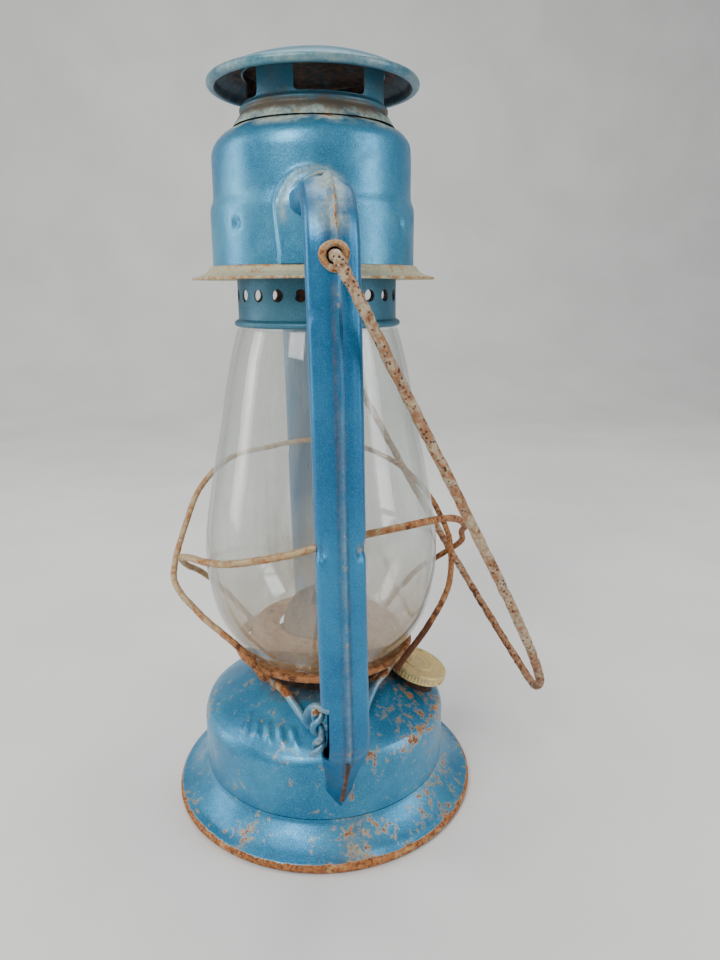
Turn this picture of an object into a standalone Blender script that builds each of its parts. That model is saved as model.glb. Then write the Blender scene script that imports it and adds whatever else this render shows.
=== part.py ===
"""Barn lantern: a tubular cold-blast kerosene lantern, about 0.256 m tall.

Frame: +Z up, origin on the lantern's vertical axis at floor level.
The two side tubes stand at -Y (front) and +Y (back); the filler is on +X.
Units are metres.
"""
import bpy
import bmesh
import math
from mathutils import Matrix, Vector

# ------------------------------------------------------------------ sizes
MM = 0.001
SHEET = 0.6 * MM              # sheet metal wall
GAP = 0.3 * MM                # gap between touching pieces

RIM_R = 56.6 * MM             # outside of the rolled foot rim
WALL_R = 45.4 * MM            # fount side wall
WALL_LOW_Z = 12.9 * MM
SHOULDER_Z = 31.5 * MM
DRUM_R = 23.6 * MM            # air drum under the globe plate

GLOBE_T = 1.5 * MM            # glass thickness

CANOPY_R = 33.1 * MM
CANOPY_LOW_Z = 193.2 * MM
FLANGE_R = 40.3 * MM
COLLAR_R = 26.5 * MM          # perforated collar on the globe
COLLAR_LOW_Z = 173.4 * MM
COLLAR_HOLES = 22
COLLAR_HOLE_R = 2.0 * MM
COLLAR_HOLE_Z = 183.8 * MM
NECK_R = 22.5 * MM
CAP_RIM_R = 33.5 * MM
CAP_RIM_Z = 247.4 * MM
CAP_TOP_Z = 256.2 * MM

TUBE_W = 14.0 * MM            # side tube, across
TUBE_D = 8.5 * MM             # side tube, front to back
TUBE_Y = 66.8 * MM            # side tube centre, from the axis
TUBE_LOW_Y = 67.2 * MM
TUBE_TOP_Z = 210.1 * MM       # centre of the run into the canopy
TUBE_LEAN = 0.0155            # both tubes lean towards -X above LEAN_Z
LEAN_Z = 45.0 * MM
CANOPY_X = -0.9 * MM          # the canopy follows the leaning tubes
ELBOW_R = 15.4 * MM

EAR_Z = 193.6 * MM            # bail pivot height
EAR_X = -2.3 * MM
BAIL_WIRE_R = 1.6 * MM
BAIL_TILT = math.radians(28.06)   # rest angle from straight down, towards +X

GUARD_WIRE_R = 1.15 * MM

LEVER_WIRE_R = 1.4 * MM
LEVER_AXIS = Vector((0.0, -67.1 * MM, 67.8 * MM))

WICK_DIR = math.radians(20.0)    # wick shaft, turned from +Y towards +X
WICK_SHAFT_Z = 53.4 * MM
WICK_SHAFT_OFF = 5.0 * MM
WICK_WHEEL_R = 3.5 * MM

FILLER_DIR = math.radians(12.2)  # filler axis plane, turned from +X towards -Y
FILLER_TILT = math.radians(19.0)
FILLER_RHO = 36.4 * MM           # cap top centre, from the axis
FILLER_TOP_Z = 48.4 * MM
FILLER_CAP_R = 11.45 * MM

# ------------------------------------------------------------------ scene
for old in list(bpy.data.objects):
    bpy.data.objects.remove(old, do_unlink=True)
for old in list(bpy.data.collections):
    bpy.data.collections.remove(old)

root_coll = bpy.context.scene.collection
parts = bpy.data.collections.new("barn_lantern")
cutters = bpy.data.collections.new("cutters")
root_coll.children.link(parts)
root_coll.children.link(cutters)

# ------------------------------------------------------------------ materials
PAINTS = {
    "blue_paint": ((0.050, 0.190, 0.330), 0.38, 0.35),
    "teal_paint": ((0.130, 0.260, 0.290), 0.50, 0.25),
    "rust": ((0.280, 0.110, 0.045), 0.85, 0.20),
    "dark_rust": ((0.080, 0.040, 0.022), 0.90, 0.20),
    "cream_wire": ((0.420, 0.300, 0.190), 0.70, 0.35),
    "cream_tin": ((0.640, 0.530, 0.360), 0.60, 0.30),
    "cap_cream": ((0.800, 0.700, 0.420), 0.45, 0.10),
    "glass": ((0.900, 0.920, 0.900), 0.10, 0.00),
    "wick_cotton": ((0.060, 0.050, 0.040), 0.95, 0.00),
    "brass": ((0.420, 0.290, 0.110), 0.45, 0.90),
    "cork": ((0.300, 0.180, 0.090), 0.90, 0.00),
}


def paint(obj, slot):
    """Give the object its own material from a named finish."""
    colour, rough, metal = PAINTS[slot]
    mat = bpy.data.materials.new(obj.name + "_" + slot)
    mat.use_nodes = True
    bsdf = mat.node_tree.nodes["Principled BSDF"]
    bsdf.inputs["Base Color"].default_value = (*colour, 1.0)
    bsdf.inputs["Roughness"].default_value = rough
    bsdf.inputs["Metallic"].default_value = metal
    if slot == "glass":
        bsdf.inputs["Transmission Weight"].default_value = 0.9
    obj.data.materials.clear()
    obj.data.materials.append(mat)


# ------------------------------------------------------------------ tools
def mm(points):
    return [tuple(c * MM for c in p) for p in points]


def add_object(name, data, coll=parts):
    obj = bpy.data.objects.new(name, data)
    coll.objects.link(obj)
    return obj


def hide_cutter(obj):
    obj.hide_render = True
    obj.display_type = 'WIRE'


def screw(obj, steps):
    mod = obj.modifiers.new("Screw", 'SCREW')
    mod.axis = 'Z'
    mod.angle = math.radians(360.0)
    mod.steps = steps
    mod.render_steps = steps
    mod.use_merge_vertices = True
    mod.merge_threshold = 0.00001
    mod.use_smooth_shade = True
    return mod


def solidify(obj, thickness, offset=-1.0):
    mod = obj.modifiers.new("Solidify", 'SOLIDIFY')
    mod.thickness = thickness
    mod.offset = offset
    mod.use_even_offset = True
    mod.use_rim = True
    return mod


def cut(obj, cutter):
    mod = obj.modifiers.new("Cut " + cutter.name, 'BOOLEAN')
    mod.operation = 'DIFFERENCE'
    mod.object = cutter
    mod.solver = 'EXACT'
    return mod


def turned(name, profile, slot, steps=36, wall=None, closed=False, coll=parts):
    """A turned piece: profile of (radius, height) from the top of its outer
    side downwards. wall gives an open sheet its thickness, inwards; closed
    joins the profile's ends, for a ring's cross-section."""
    mesh = bpy.data.meshes.new(name)
    bm = bmesh.new()
    verts = [bm.verts.new((r, 0.0, z)) for r, z in profile]
    for a, b in zip(verts[:-1], verts[1:]):
        bm.edges.new((a, b))
    if closed:
        bm.edges.new((verts[-1], verts[0]))
    bm.to_mesh(mesh)
    bm.free()
    obj = add_object(name, mesh, coll)
    screw(obj, steps)
    if wall:
        solidify(obj, wall)
    if coll is parts:
        paint(obj, slot)
    else:
        hide_cutter(obj)
    return obj


def bead(cx, cz, r, start, stop, n):
    """Points on a circle in the (radius, height) plane, in degrees."""
    return [(cx + r * math.cos(math.radians(start + (stop - start) * i / n)),
             cz + r * math.sin(math.radians(start + (stop - start) * i / n)))
            for i in range(n + 1)]


def drop_to_mesh(obj, name, weld=0.00002):
    """Turn a curve object into a closed mesh object."""
    deps = bpy.context.evaluated_depsgraph_get()
    mesh = bpy.data.meshes.new_from_object(obj.evaluated_get(deps))
    bm = bmesh.new()
    bm.from_mesh(mesh)
    bmesh.ops.remove_doubles(bm, verts=bm.verts, dist=weld)
    bmesh.ops.recalc_face_normals(bm, faces=bm.faces)
    bm.to_mesh(mesh)
    bm.free()
    out = bpy.data.objects.new(name, mesh)
    out.matrix_world = obj.matrix_world.copy()
    curve = obj.data
    bpy.data.objects.remove(obj, do_unlink=True)
    bpy.data.curves.remove(curve)
    return out


def wire(name, points, radius, slot=None, cyclic=False, coll=parts, as_mesh=False,
         resolution=2):
    """A round wire through the points."""
    curve = bpy.data.curves.new(name, 'CURVE')
    curve.dimensions = '3D'
    curve.twist_mode = 'MINIMUM'
    spline = curve.splines.new('POLY')
    spline.points.add(len(points) - 1)
    for slot_point, p in zip(spline.points, points):
        slot_point.co = (p[0], p[1], p[2], 1.0)
    spline.use_cyclic_u = cyclic
    curve.bevel_depth = radius
    curve.bevel_resolution = resolution
    curve.use_fill_caps = not cyclic
    obj = bpy.data.objects.new(name + "_curve" if as_mesh else name, curve)
    coll.objects.link(obj)
    if as_mesh:
        bpy.context.view_layer.update()
        made = drop_to_mesh(obj, name)
        coll.objects.link(made)
        obj = made
        obj.data.shade_smooth()
    if coll is parts:
        paint(obj, slot)
    else:
        hide_cutter(obj)
    return obj


def smooth_path(points, per=6):
    """Catmull-Rom points through the given ones."""
    pts = [Vector(p) for p in points]
    full = [pts[0] * 2 - pts[1]] + pts + [pts[-1] * 2 - pts[-2]]
    out = []
    for i in range(1, len(full) - 2):
        p0, p1, p2, p3 = full[i - 1], full[i], full[i + 1], full[i + 2]
        for k in range(per):
            t = k / per
            out.append(0.5 * ((2 * p1) + (p2 - p0) * t
                              + (2 * p0 - 5 * p1 + 4 * p2 - p3) * t * t
                              + (3 * p1 - p0 - 3 * p2 + p3) * t ** 3))
    out.append(pts[-1])
    return out


def box(name, lo, hi, slot=None, coll=parts, turn=None):
    """A block between two corners, turned by a matrix if one is given."""
    mesh = bpy.data.meshes.new(name)
    bm = bmesh.new()
    bmesh.ops.create_cube(bm, size=1.0)
    lo, hi = Vector(lo), Vector(hi)
    size, mid = hi - lo, (lo + hi) / 2
    for v in bm.verts:
        v.co = Vector((v.co.x * size.x, v.co.y * size.y, v.co.z * size.z)) + mid
    bm.to_mesh(mesh)
    bm.free()
    obj = add_object(name, mesh, coll)
    if turn is not None:
        obj.matrix_world = turn
    if coll is parts:
        paint(obj, slot)
    else:
        hide_cutter(obj)
    return obj


def rod_cutter(name, p, q, r, segments=16):
    """A round cutter from p to q."""
    p, q = Vector(p), Vector(q)
    mesh = bpy.data.meshes.new(name)
    bm = bmesh.new()
    bmesh.ops.create_cone(bm, cap_ends=True, segments=segments, radius1=r,
                          radius2=r, depth=(q - p).length)
    bm.to_mesh(mesh)
    bm.free()
    obj = add_object(name, mesh, cutters)
    aim = (q - p).to_track_quat('Z', 'Y').to_matrix().to_4x4()
    obj.matrix_world = Matrix.Translation((p + q) / 2) @ aim
    hide_cutter(obj)
    return obj


def rounded_section(half_w, half_d, n=12, power=2.8):
    """Points of a rounded, flattened tube section."""
    out = []
    for i in range(n):
        a = 2 * math.pi * (i + 0.5) / n
        c, s = math.cos(a), math.sin(a)
        out.append((half_w * math.copysign(abs(c) ** (2 / power), c),
                    half_d * math.copysign(abs(s) ** (2 / power), s)))
    return out


def swept(name, path, section, slot=None, coll=parts, wall=None, lean=False):
    """A tube of the given section along a path in the YZ plane. The section's
    first coordinate runs along X. Its ends are open, and wall thickens it;
    a cutter has no wall and has its ends closed. lean moves its upper part
    towards -X."""
    prof = bpy.data.curves.new(name + "_section", 'CURVE')
    prof.dimensions = '2D'
    ps = prof.splines.new('POLY')
    ps.points.add(len(section) - 1)
    for slot_point, (u, v) in zip(ps.points, section):
        slot_point.co = (u, v, 0.0, 1.0)
    ps.use_cyclic_u = True
    prof_obj = bpy.data.objects.new(name + "_section", prof)
    cutters.objects.link(prof_obj)
    curve = bpy.data.curves.new(name, 'CURVE')
    curve.dimensions = '3D'
    curve.twist_mode = 'MINIMUM'
    sp = curve.splines.new('POLY')
    sp.points.add(len(path) - 1)
    for slot_point, (y, z) in zip(sp.points, path):
        slot_point.co = (0.0, y, z, 1.0)
    curve.bevel_mode = 'OBJECT'
    curve.bevel_object = prof_obj
    curve.use_fill_caps = True
    obj = bpy.data.objects.new(name + "_curve", curve)
    coll.objects.link(obj)
    bpy.context.view_layer.update()
    made = drop_to_mesh(obj, name)
    coll.objects.link(made)
    bpy.data.objects.remove(prof_obj, do_unlink=True)
    bpy.data.curves.remove(prof)
    if lean:
        for v in made.data.vertices:
            v.co.x -= TUBE_LEAN * max(0.0, v.co.z - LEAN_Z)
    if wall:
        # the caps are the only triangles: without them both ends are open
        bm = bmesh.new()
        bm.from_mesh(made.data)
        bmesh.ops.delete(bm, geom=[f for f in bm.faces if len(f.verts) == 3],
                         context='FACES')
        bm.to_mesh(made.data)
        bm.free()
        solidify(made, wall)
        made.data.shade_smooth()
    if coll is parts:
        paint(made, slot)
    else:
        hide_cutter(made)
    return made


def mirror_y(points):
    return [(-y, z) for y, z in points]


# ------------------------------------------------------------------ foot and fount
skirt_out = mm([(45.4, 12.6), (47.2, 9.8), (50.4, 6.7), (53.2, 4.7)])
skirt_in = mm([(52.6, 3.9), (49.9, 6.1), (46.7, 9.4), (44.8, 12.6)])
rim = mm(bead(54.5, 2.1, 2.1, 90, -180, 6))
turned("base_skirt", skirt_out + rim + skirt_in, "blue_paint", steps=32, closed=True)

fount_bottom = turned("fount_bottom",
                      mm([(0, 1.4), (46.0, 1.4), (48.0, 2.4), (51.8, 2.4)]),
                      "rust", steps=24, wall=SHEET)

DOME = mm([(17.6, 49.5), (22, 48.4), (29, 44.7), (36.5, 40.3),
           (41, 37.4), (44.2, 34.6), (45.4, 31.5), (45.4, 12.9)])
fount_shell = turned("fount_shell", DOME, "blue_paint", steps=32, wall=SHEET)

# filler axis
filler_out = Vector((math.cos(FILLER_DIR), -math.sin(FILLER_DIR), 0.0))
filler_axis = (filler_out * math.sin(FILLER_TILT)
               + Vector((0, 0, math.cos(FILLER_TILT))))
filler_top = filler_out * FILLER_RHO + Vector((0, 0, FILLER_TOP_Z))
filler_turn = (Matrix.Translation(filler_top)
               @ Matrix.Rotation(-FILLER_DIR, 4, 'Z')
               @ Matrix.Rotation(FILLER_TILT, 4, 'Y'))
cut(fount_shell, rod_cutter("filler_hole", filler_top - filler_axis * 0.025,
                            filler_top + filler_axis * 0.004, 8.0 * MM, 24))

filler_neck = turned("filler_neck",
                     mm([(6.3, -1.6), (7.6, -1.6), (7.6, -13.5), (6.3, -13.5)]),
                     "dark_rust", steps=24, closed=True)
filler_neck.matrix_world = filler_turn
filler_cap = turned("filler_cap",
                    mm([(0, 0), (6.2, 0), (10.7, 0), (11.45, -0.7), (11.45, -3.6),
                        (10.5, -3.6), (10.5, -0.9), (0, -0.9)]),
                    "cap_cream", steps=32)
filler_cap.matrix_world = filler_turn
cap_gasket = turned("cap_gasket",
                    mm([(4.2, -1.2), (10.0, -1.2), (10.0, -1.35), (4.2, -1.35)]),
                    "cork", steps=24, closed=True)
cap_gasket.matrix_world = filler_turn

# ------------------------------------------------------------------ side tubes
SLOPE = Vector((26.0, -36.3)).normalized()      # lower run, towards the fount
KNEE_TOP = (-67.2 * MM, 61.0 * MM)


def tube_path():
    """Centre line of the front side tube, from the canopy to the fount."""
    pts = [(-29.8 * MM, TUBE_TOP_Z), (-42.0 * MM, TUBE_TOP_Z)]
    cy, cz = -(TUBE_Y - ELBOW_R), TUBE_TOP_Z - ELBOW_R
    for i in range(6):
        a = math.radians(90 + 90 * i / 5)
        pts.append((cy + ELBOW_R * math.cos(a), cz + ELBOW_R * math.sin(a)))
    pts += [(-TUBE_Y, 118.0 * MM), KNEE_TOP]
    start = Vector((-66.1 * MM, 54.9 * MM))
    pts.append((-66.95 * MM, 57.6 * MM))
    for d in (0.0, 45.5):
        p = start + SLOPE * (d * MM)
        pts.append((p.x, p.y))
    return pts


PATH = tube_path()
outer_section = rounded_section(TUBE_W / 2, TUBE_D / 2)
front_tube = swept("front_tube", PATH, outer_section, "blue_paint", wall=SHEET,
                   lean=True)
back_tube = swept("back_tube", mirror_y(PATH), outer_section, "blue_paint",
                  wall=SHEET, lean=True)

wide_section = rounded_section(TUBE_W / 2 + GAP, TUBE_D / 2 + GAP)
top_run = [(-20.0 * MM, TUBE_TOP_Z), (-45.0 * MM, TUBE_TOP_Z)]
low_a = Vector((-66.1 * MM, 54.9 * MM)) + SLOPE * (12.0 * MM)
low_b = Vector((-66.1 * MM, 54.9 * MM)) + SLOPE * (52.0 * MM)
low_run = [(low_a.x, low_a.y), (low_b.x, low_b.y)]
cut(fount_shell, swept("front_foot_hole", low_run, wide_section, coll=cutters))
cut(fount_shell, swept("back_foot_hole", mirror_y(low_run), wide_section, coll=cutters))

# opening in the front tube for the globe lift lever
cut(front_tube, box("lever_notch", (-9 * MM, -73 * MM, 50.8 * MM),
                    (-4.6 * MM, -60 * MM, 70.4 * MM), coll=cutters))
# holes for the bail's ends
for side, tube in ((-1, front_tube), (1, back_tube)):
    cut(tube, rod_cutter("bail_hole_%s" % ("front" if side < 0 else "back"),
                         (EAR_X, side * 67 * MM, EAR_Z), (EAR_X, side * 75 * MM, EAR_Z),
                        2.9 * MM))

for side, label in ((-1, "front"), (1, "back")):
    ring = turned("bail_eyelet_" + label,
                  mm([(2.1, 1.4), (3.6, 1.4), (4.5, 0.8), (4.5, 0.3), (2.55, 0.3),
                      (2.55, -1.4), (2.1, -1.4)]),
                  "rust", steps=20, closed=True)
    ring.matrix_world = (Matrix.Translation((EAR_X, side * 71.05 * MM, EAR_Z))
                         @ Matrix.Rotation(math.radians(-90 * side), 4, 'X'))

# air ducts from the side tubes' feet up into the drum
duct_path = [(-35.6 * MM, 19.3 * MM), (-32.0 * MM, 20.4 * MM), (-27.5 * MM, 24.0 * MM),
             (-22.6 * MM, 31.0 * MM), (-20.8 * MM, 38.0 * MM), (-20.4 * MM, 44.0 * MM)]
duct_section = rounded_section(6.0 * MM, 3.3 * MM, n=12)
swept("air_duct_front", duct_path, duct_section, "rust", wall=SHEET)
swept("air_duct_back", mirror_y(duct_path), duct_section, "rust", wall=SHEET)
duct_hole = rounded_section(5.0 * MM, 2.0 * MM, n=12)
for side, label in ((-1, "front"), (1, "back")):
    line = [(side * 20.4 * MM, 40.0 * MM), (side * 20.4 * MM, 52.0 * MM)]
    cut(fount_shell, swept("duct_hole_" + label, line, duct_hole, coll=cutters))

# ------------------------------------------------------------------ burner
u_dir = Vector((math.sin(WICK_DIR), math.cos(WICK_DIR), 0.0))     # along the shaft
n_dir = Vector((math.cos(WICK_DIR), -math.sin(WICK_DIR), 0.0))    # across the wick
wick_turn = Matrix.Rotation(-WICK_DIR, 4, 'Z')                    # X: across, Y: along

burner_drum = turned("burner_drum",
                     mm([(15.9, 56.0), (22.9, 56.0), (23.6, 55.2), (23.6, 48.6)]),
                     "dark_rust", steps=32, wall=SHEET)
turned("burner_collar",
       mm([(14.6, 51.4), (19.2, 51.4), (19.2, 50.0), (17.1, 50.0), (17.1, 46.4),
           (14.6, 46.4)]),
       "brass", steps=24, closed=True)
burner_body = turned("burner_body",
                     mm([(13.4, 63.6), (14.2, 63.6), (14.2, 47.4), (9.6, 47.4),
                         (9.6, 48.2), (13.4, 48.2)]),
                     "dark_rust", steps=24, closed=True)
cone_profile = [(15.0, 64.0)]
for i in range(1, 6):
    a = math.radians(90 * i / 5)
    cone_profile.append((15.0 * math.cos(a) ** 0.75 if i < 5 else 0.0,
                         64.0 + 13.4 * math.sin(a) ** 1.15))
burner_cone = turned("burner_cone", mm(list(reversed(cone_profile))), "rust",
                     steps=20, wall=SHEET)
cut(burner_cone, box("flame_slot", (-2.4 * MM, -9.6 * MM, 70.5 * MM),
                     (2.4 * MM, 9.6 * MM, 82 * MM), coll=cutters, turn=wick_turn))

wick_tube = box("wick_tube", (-2.2 * MM, -8.6 * MM, 33 * MM),
                (2.2 * MM, 8.6 * MM, 71.5 * MM), "brass", turn=wick_turn)
cut(wick_tube, box("wick_bore", (-1.65 * MM, -8.05 * MM, 30 * MM),
                   (1.65 * MM, 8.05 * MM, 75 * MM), coll=cutters, turn=wick_turn))
cut(wick_tube, box("wheel_window", (1.0 * MM, -5.6 * MM, WICK_SHAFT_Z - 4 * MM),
                   (3.0 * MM, 5.6 * MM, WICK_SHAFT_Z + 4 * MM), coll=cutters,
                   turn=wick_turn))
box("wick", (-1.3 * MM, -7.7 * MM, 9 * MM), (1.3 * MM, 7.7 * MM, 73.0 * MM),
    "wick_cotton", turn=wick_turn)

shaft_mid = n_dir * WICK_SHAFT_OFF + Vector((0, 0, WICK_SHAFT_Z))
shaft_turn = (Matrix.Translation(shaft_mid) @ wick_turn
              @ Matrix.Rotation(math.radians(-90), 4, 'X'))       # local Z along the shaft


def shaft_piece(name, profile, slot, steps, closed=False):
    obj = turned(name, profile, slot, steps=steps, closed=closed)
    obj.matrix_world = shaft_turn
    return obj


shaft_piece("wick_shaft", mm([(0, 39.0), (0.9, 39.0), (0.9, -9.0), (0, -9.0)]),
            "brass", 10)
for label, at in (("near", -3.4), ("far", 3.4)):
    shaft_piece("wick_wheel_" + label,
                mm([(1.2, at + 0.8), (3.5, at + 0.8), (3.5, at - 0.8), (1.2, at - 0.8)]),
                "brass", 14, closed=True)
shaft_piece("wick_knob",
            mm([(1.2, 40.0), (4.6, 40.0), (6.0, 39.4), (6.0, 38.2), (4.4, 37.4),
                (1.2, 37.4)]),
            "brass", 20, closed=True)
far_end = shaft_mid + u_dir * 0.030
near_end = shaft_mid + u_dir * 0.012
cut(burner_drum, rod_cutter("shaft_hole_drum", shaft_mid + u_dir * 0.018, far_end,
                            1.3 * MM, 12))
cut(burner_body, rod_cutter("shaft_hole_body", shaft_mid - u_dir * 0.018,
                            shaft_mid + u_dir * 0.018, 1.3 * MM, 12))

# ------------------------------------------------------------------ globe, plate and guard
plate_out = mm([(16.4, 64.6), (25.4, 64.6), (26.2, 63.8), (27.0, 57.8), (30.2, 57.6)])
plate_rim = mm(bead(32.2, 57.7, 1.2, 140, -140, 5))
plate_in = mm([(26.5, 57.0), (25.7, 63.4), (25.2, 64.0), (16.4, 64.0)])
turned("globe_plate", plate_out + plate_rim + plate_in, "cream_tin", steps=28,
       closed=True)

GLOBE = mm([(27.2, 173.0), (29.6, 164.7), (32.3, 152.2), (34.6, 139.5),
            (39.8, 113.3), (41.7, 101.5), (42.0, 93.5), (41.5, 85.3),
            (38.9, 73.0), (34.0, 63.6), (29.8, 58.8)])
turned("globe", GLOBE, "glass", steps=32, wall=GLOBE_T)


# each guard wire runs from one side of the globe plate up to a side tube and
# down again; the two cross at +X and -X
GUARD_FRONT = mm([(-26.8, 22.2, 56.0), (-35.5, 22.2, 67.5), (-44.5, 15.8, 79.9),
                  (-49.2, 5.0, 87.6), (-50.1, -5.0, 93.9), (-46.3, -27.0, 102.6),
                  (-33.9, -46.5, 106.9), (-15.7, -58.1, 112.8), (0.0, -60.9, 117.6),
                  (17.0, -57.6, 119.3), (35.4, -45.2, 117.3), (46.4, -25.5, 108.2),
                  (51.6, -5.0, 98.6), (54.3, 5.0, 91.0), (48.6, 14.0, 82.3),
                  (40.0, 19.8, 73.6), (30.4, 22.8, 60.5), (26.8, 22.2, 56.0)])
GUARD_BACK = mm([(-22.6, -26.6, 55.8), (-30.6, -25.8, 68.0), (-43.8, -16.6, 77.4),
                 (-52.3, -7.0, 84.6), (-53.3, 2.0, 89.9), (-50.6, 17.1, 98.2),
                 (-44.7, 31.9, 110.1), (-33.0, 47.3, 118.0), (-16.4, 57.9, 119.8),
                 (1.0, 60.9, 121.6), (18.0, 57.2, 120.6), (35.2, 45.2, 114.6),
                 (45.6, 30.0, 105.8), (50.2, 15.8, 95.9), (50.4, 5.2, 89.2),
                 (46.0, -9.2, 79.2), (36.0, -19.6, 68.9), (25.4, -26.2, 59.6),
                 (22.8, -26.6, 55.8)])
for name, run in (("guard_wire_front", GUARD_FRONT), ("guard_wire_back", GUARD_BACK)):
    wire(name, smooth_path(run, per=2), GUARD_WIRE_R, "cream_wire", resolution=1)

# ------------------------------------------------------------------ canopy
CANOPY = mm([(23.6, 235.0), (28.4, 232.8), (31.1, 229.8), (31.9, 226.6),
             (31.9, 214.7), (33.1, 209.6), (33.1, 193.2)])
canopy_shell = turned("canopy_shell", CANOPY, "blue_paint", steps=32, wall=SHEET)
canopy_shell.location.x = CANOPY_X
cut(canopy_shell, swept("front_canopy_hole", top_run, wide_section, coll=cutters,
                        lean=True))
cut(canopy_shell, swept("back_canopy_hole", mirror_y(top_run), wide_section,
                        coll=cutters, lean=True))
flange = turned("canopy_flange",
                mm([(32.6, 192.9), (33.6, 192.8), (35.4, 190.9), (40.3, 189.6),
                    (40.3, 188.7), (35.0, 190.0), (32.6, 192.2)]),
                "cream_tin", steps=32, closed=True)
floor_ring = turned("canopy_floor",
                    mm([(28.8, 194.6), (32.1, 194.6), (32.1, 194.0), (28.8, 194.0)]),
                    "dark_rust", steps=24, closed=True)
for ring in (flange, floor_ring):
    ring.location.x = CANOPY_X

# ------------------------------------------------------------------ hood
globe_collar = turned("globe_collar",
                      mm([(26.5, 194.6), (26.5, 176.0)]
                         + bead(26.9, 174.8, 1.1, 70, -90, 3)
                         + [(25.9, 173.7), (25.9, 194.6)]),
                      "teal_paint", steps=32, closed=True)
mesh = bpy.data.meshes.new("collar_holes")
bm = bmesh.new()
for i in range(COLLAR_HOLES):
    a = math.radians(360.0 * i / COLLAR_HOLES)
    out = Vector((math.sin(a), -math.cos(a), 0))
    aim = out.to_track_quat('Z', 'Y').to_matrix().to_4x4()
    bmesh.ops.create_cone(bm, cap_ends=True, segments=8, radius1=COLLAR_HOLE_R,
                          radius2=COLLAR_HOLE_R, depth=6 * MM,
                          matrix=Matrix.Translation(out * COLLAR_R
                                                    + Vector((0, 0, COLLAR_HOLE_Z)))
                          @ aim)
bm.to_mesh(mesh)
bm.free()
holes = add_object("collar_holes", mesh, cutters)
hide_cutter(holes)
cut(globe_collar, holes)

turned("inner_chimney",
       mm([(21.5, 237.6), (21.5, 206.0), (26.2, 194.95)]), "teal_paint", steps=24,
       wall=SHEET)
hood_neck = turned("hood_neck",
                   mm([(22.5, 251.7), (22.5, 240.4), (24.5, 238.4),
                       (24.5, 236.2), (23.4, 236.2), (23.0, 238.3),
                       (21.9, 240.0), (21.9, 251.7)]),
                   "teal_paint", steps=32, closed=True)
mesh = bpy.data.meshes.new("hood_windows")
bm = bmesh.new()
for i in range(4):
    a = math.radians(8.0 + 90.0 * i)
    out = Vector((math.sin(a), -math.cos(a), 0))
    turn = (Matrix.Translation(out * 21.0 * MM + Vector((0, 0, 245.3 * MM)))
            @ Matrix.Rotation(a, 4, 'Z')
            @ Matrix.Diagonal((21.4 * MM, 8.0 * MM, 8.2 * MM, 1.0)))
    bmesh.ops.create_cube(bm, size=1.0, matrix=turn)
bm.to_mesh(mesh)
bm.free()
windows = add_object("hood_windows", mesh, cutters)
hide_cutter(windows)
cut(hood_neck, windows)

cap_out = [(0, 256.2), (9, 255.7), (18, 254.1), (25, 252.0), (30.4, 249.7)]
cap_rim = bead(32.0, 247.5, 1.5, 80, -170, 5)
cap_in = [(30.0, 249.1), (25, 251.35), (18, 253.5), (9, 255.1), (0, 255.6)]
turned("hood_cap", mm(cap_out + cap_rim + cap_in), "blue_paint", steps=32)

# ------------------------------------------------------------------ globe lift lever
left_arm = smooth_path(mm([(-23.5, -16.5, 54.7), (-20.5, -20.4, 52.6),
                           (-16.2, -24.0, 49.8), (-13.2, -28.2, 46.8),
                           (-10.8, -32.0, 44.4), (-8.4, -35.4, 42.9),
                           (-4.5, -36.4, 42.5)]), per=2)
right_arm = [(-x, y, z) for x, y, z in reversed(left_arm)]
fork = wire("lift_lever", left_arm + right_arm, LEVER_WIRE_R, "blue_paint",
            as_mesh=True, resolution=1)
crank = smooth_path(mm([(-6.6, -36.2, 42.6), (-9.2, -41.0, 46.6), (-10.4, -50.0, 55.5),
                        (-10.0, -58.0, 63.0), (-8.6, -63.5, 67.4), (-5.0, -66.8, 67.8),
                        (-1.0, -67.1, 67.8)]), per=2) + mm([(3.6, -67.1, 67.8)])
crank_mesh = wire("lever_crank", crank, 1.25 * MM, coll=cutters, as_mesh=True,
                  resolution=1)
thumb = smooth_path(mm([(-8.3, -63.9, 67.6), (-8.0, -64.6, 65.4), (-8.9, -64.8, 62.6),
                        (-8.0, -65.0, 60.2), (-7.3, -65.0, 58.2), (-7.8, -64.8, 56.0),
                        (-8.9, -64.4, 53.6), (-9.4, -64.2, 52.2)]), per=2)
thumb_mesh = wire("lever_thumb", thumb, 1.55 * MM, coll=cutters, as_mesh=True,
                  resolution=1)
for piece in (crank_mesh, thumb_mesh):
    mod = fork.modifiers.new("Join " + piece.name, 'BOOLEAN')
    mod.operation = 'UNION'
    mod.object = piece
    mod.solver = 'EXACT'
bush = turned("lever_bush", mm([(1.6, 2.0), (2.95, 2.0), (2.95, -2.0), (1.6, -2.0)]),
              "brass", steps=14, closed=True)
bush.matrix_world = (Matrix.Translation(LEVER_AXIS)
                     @ Matrix.Rotation(math.radians(90), 4, 'Y'))

# ------------------------------------------------------------------ bail
hang = Vector((math.sin(BAIL_TILT), 0.0, -math.cos(BAIL_TILT)))
half = [(66.6, 0.0), (72.6, 0.0), (74.3, 0.6), (75.0, 2.2), (75.0, 7.5), (73.9, 17.0),
        (70.9, 38.0), (68.2, 67.0), (64.4, 96.5), (58.2, 120.6), (52.0, 135.6),
        (44.6, 147.6), (35.4, 159.2), (25.0, 168.6), (13.6, 177.6), (5.4, 182.8)]
near = [Vector((0, -v * MM, 0)) + hang * (w * MM) for v, w in half]
far = [Vector((0, v * MM, 0)) + hang * (w * MM) for v, w in reversed(half)]
tip = [hang * (184.0 * MM)]
bail = wire("bail", near + tip + far, BAIL_WIRE_R, "cream_wire", resolution=1)
bail.location = (EAR_X, 0.0, EAR_Z)
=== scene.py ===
import math

import bmesh
import bpy
import numpy as np
from mathutils import Matrix, Vector, noise


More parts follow.
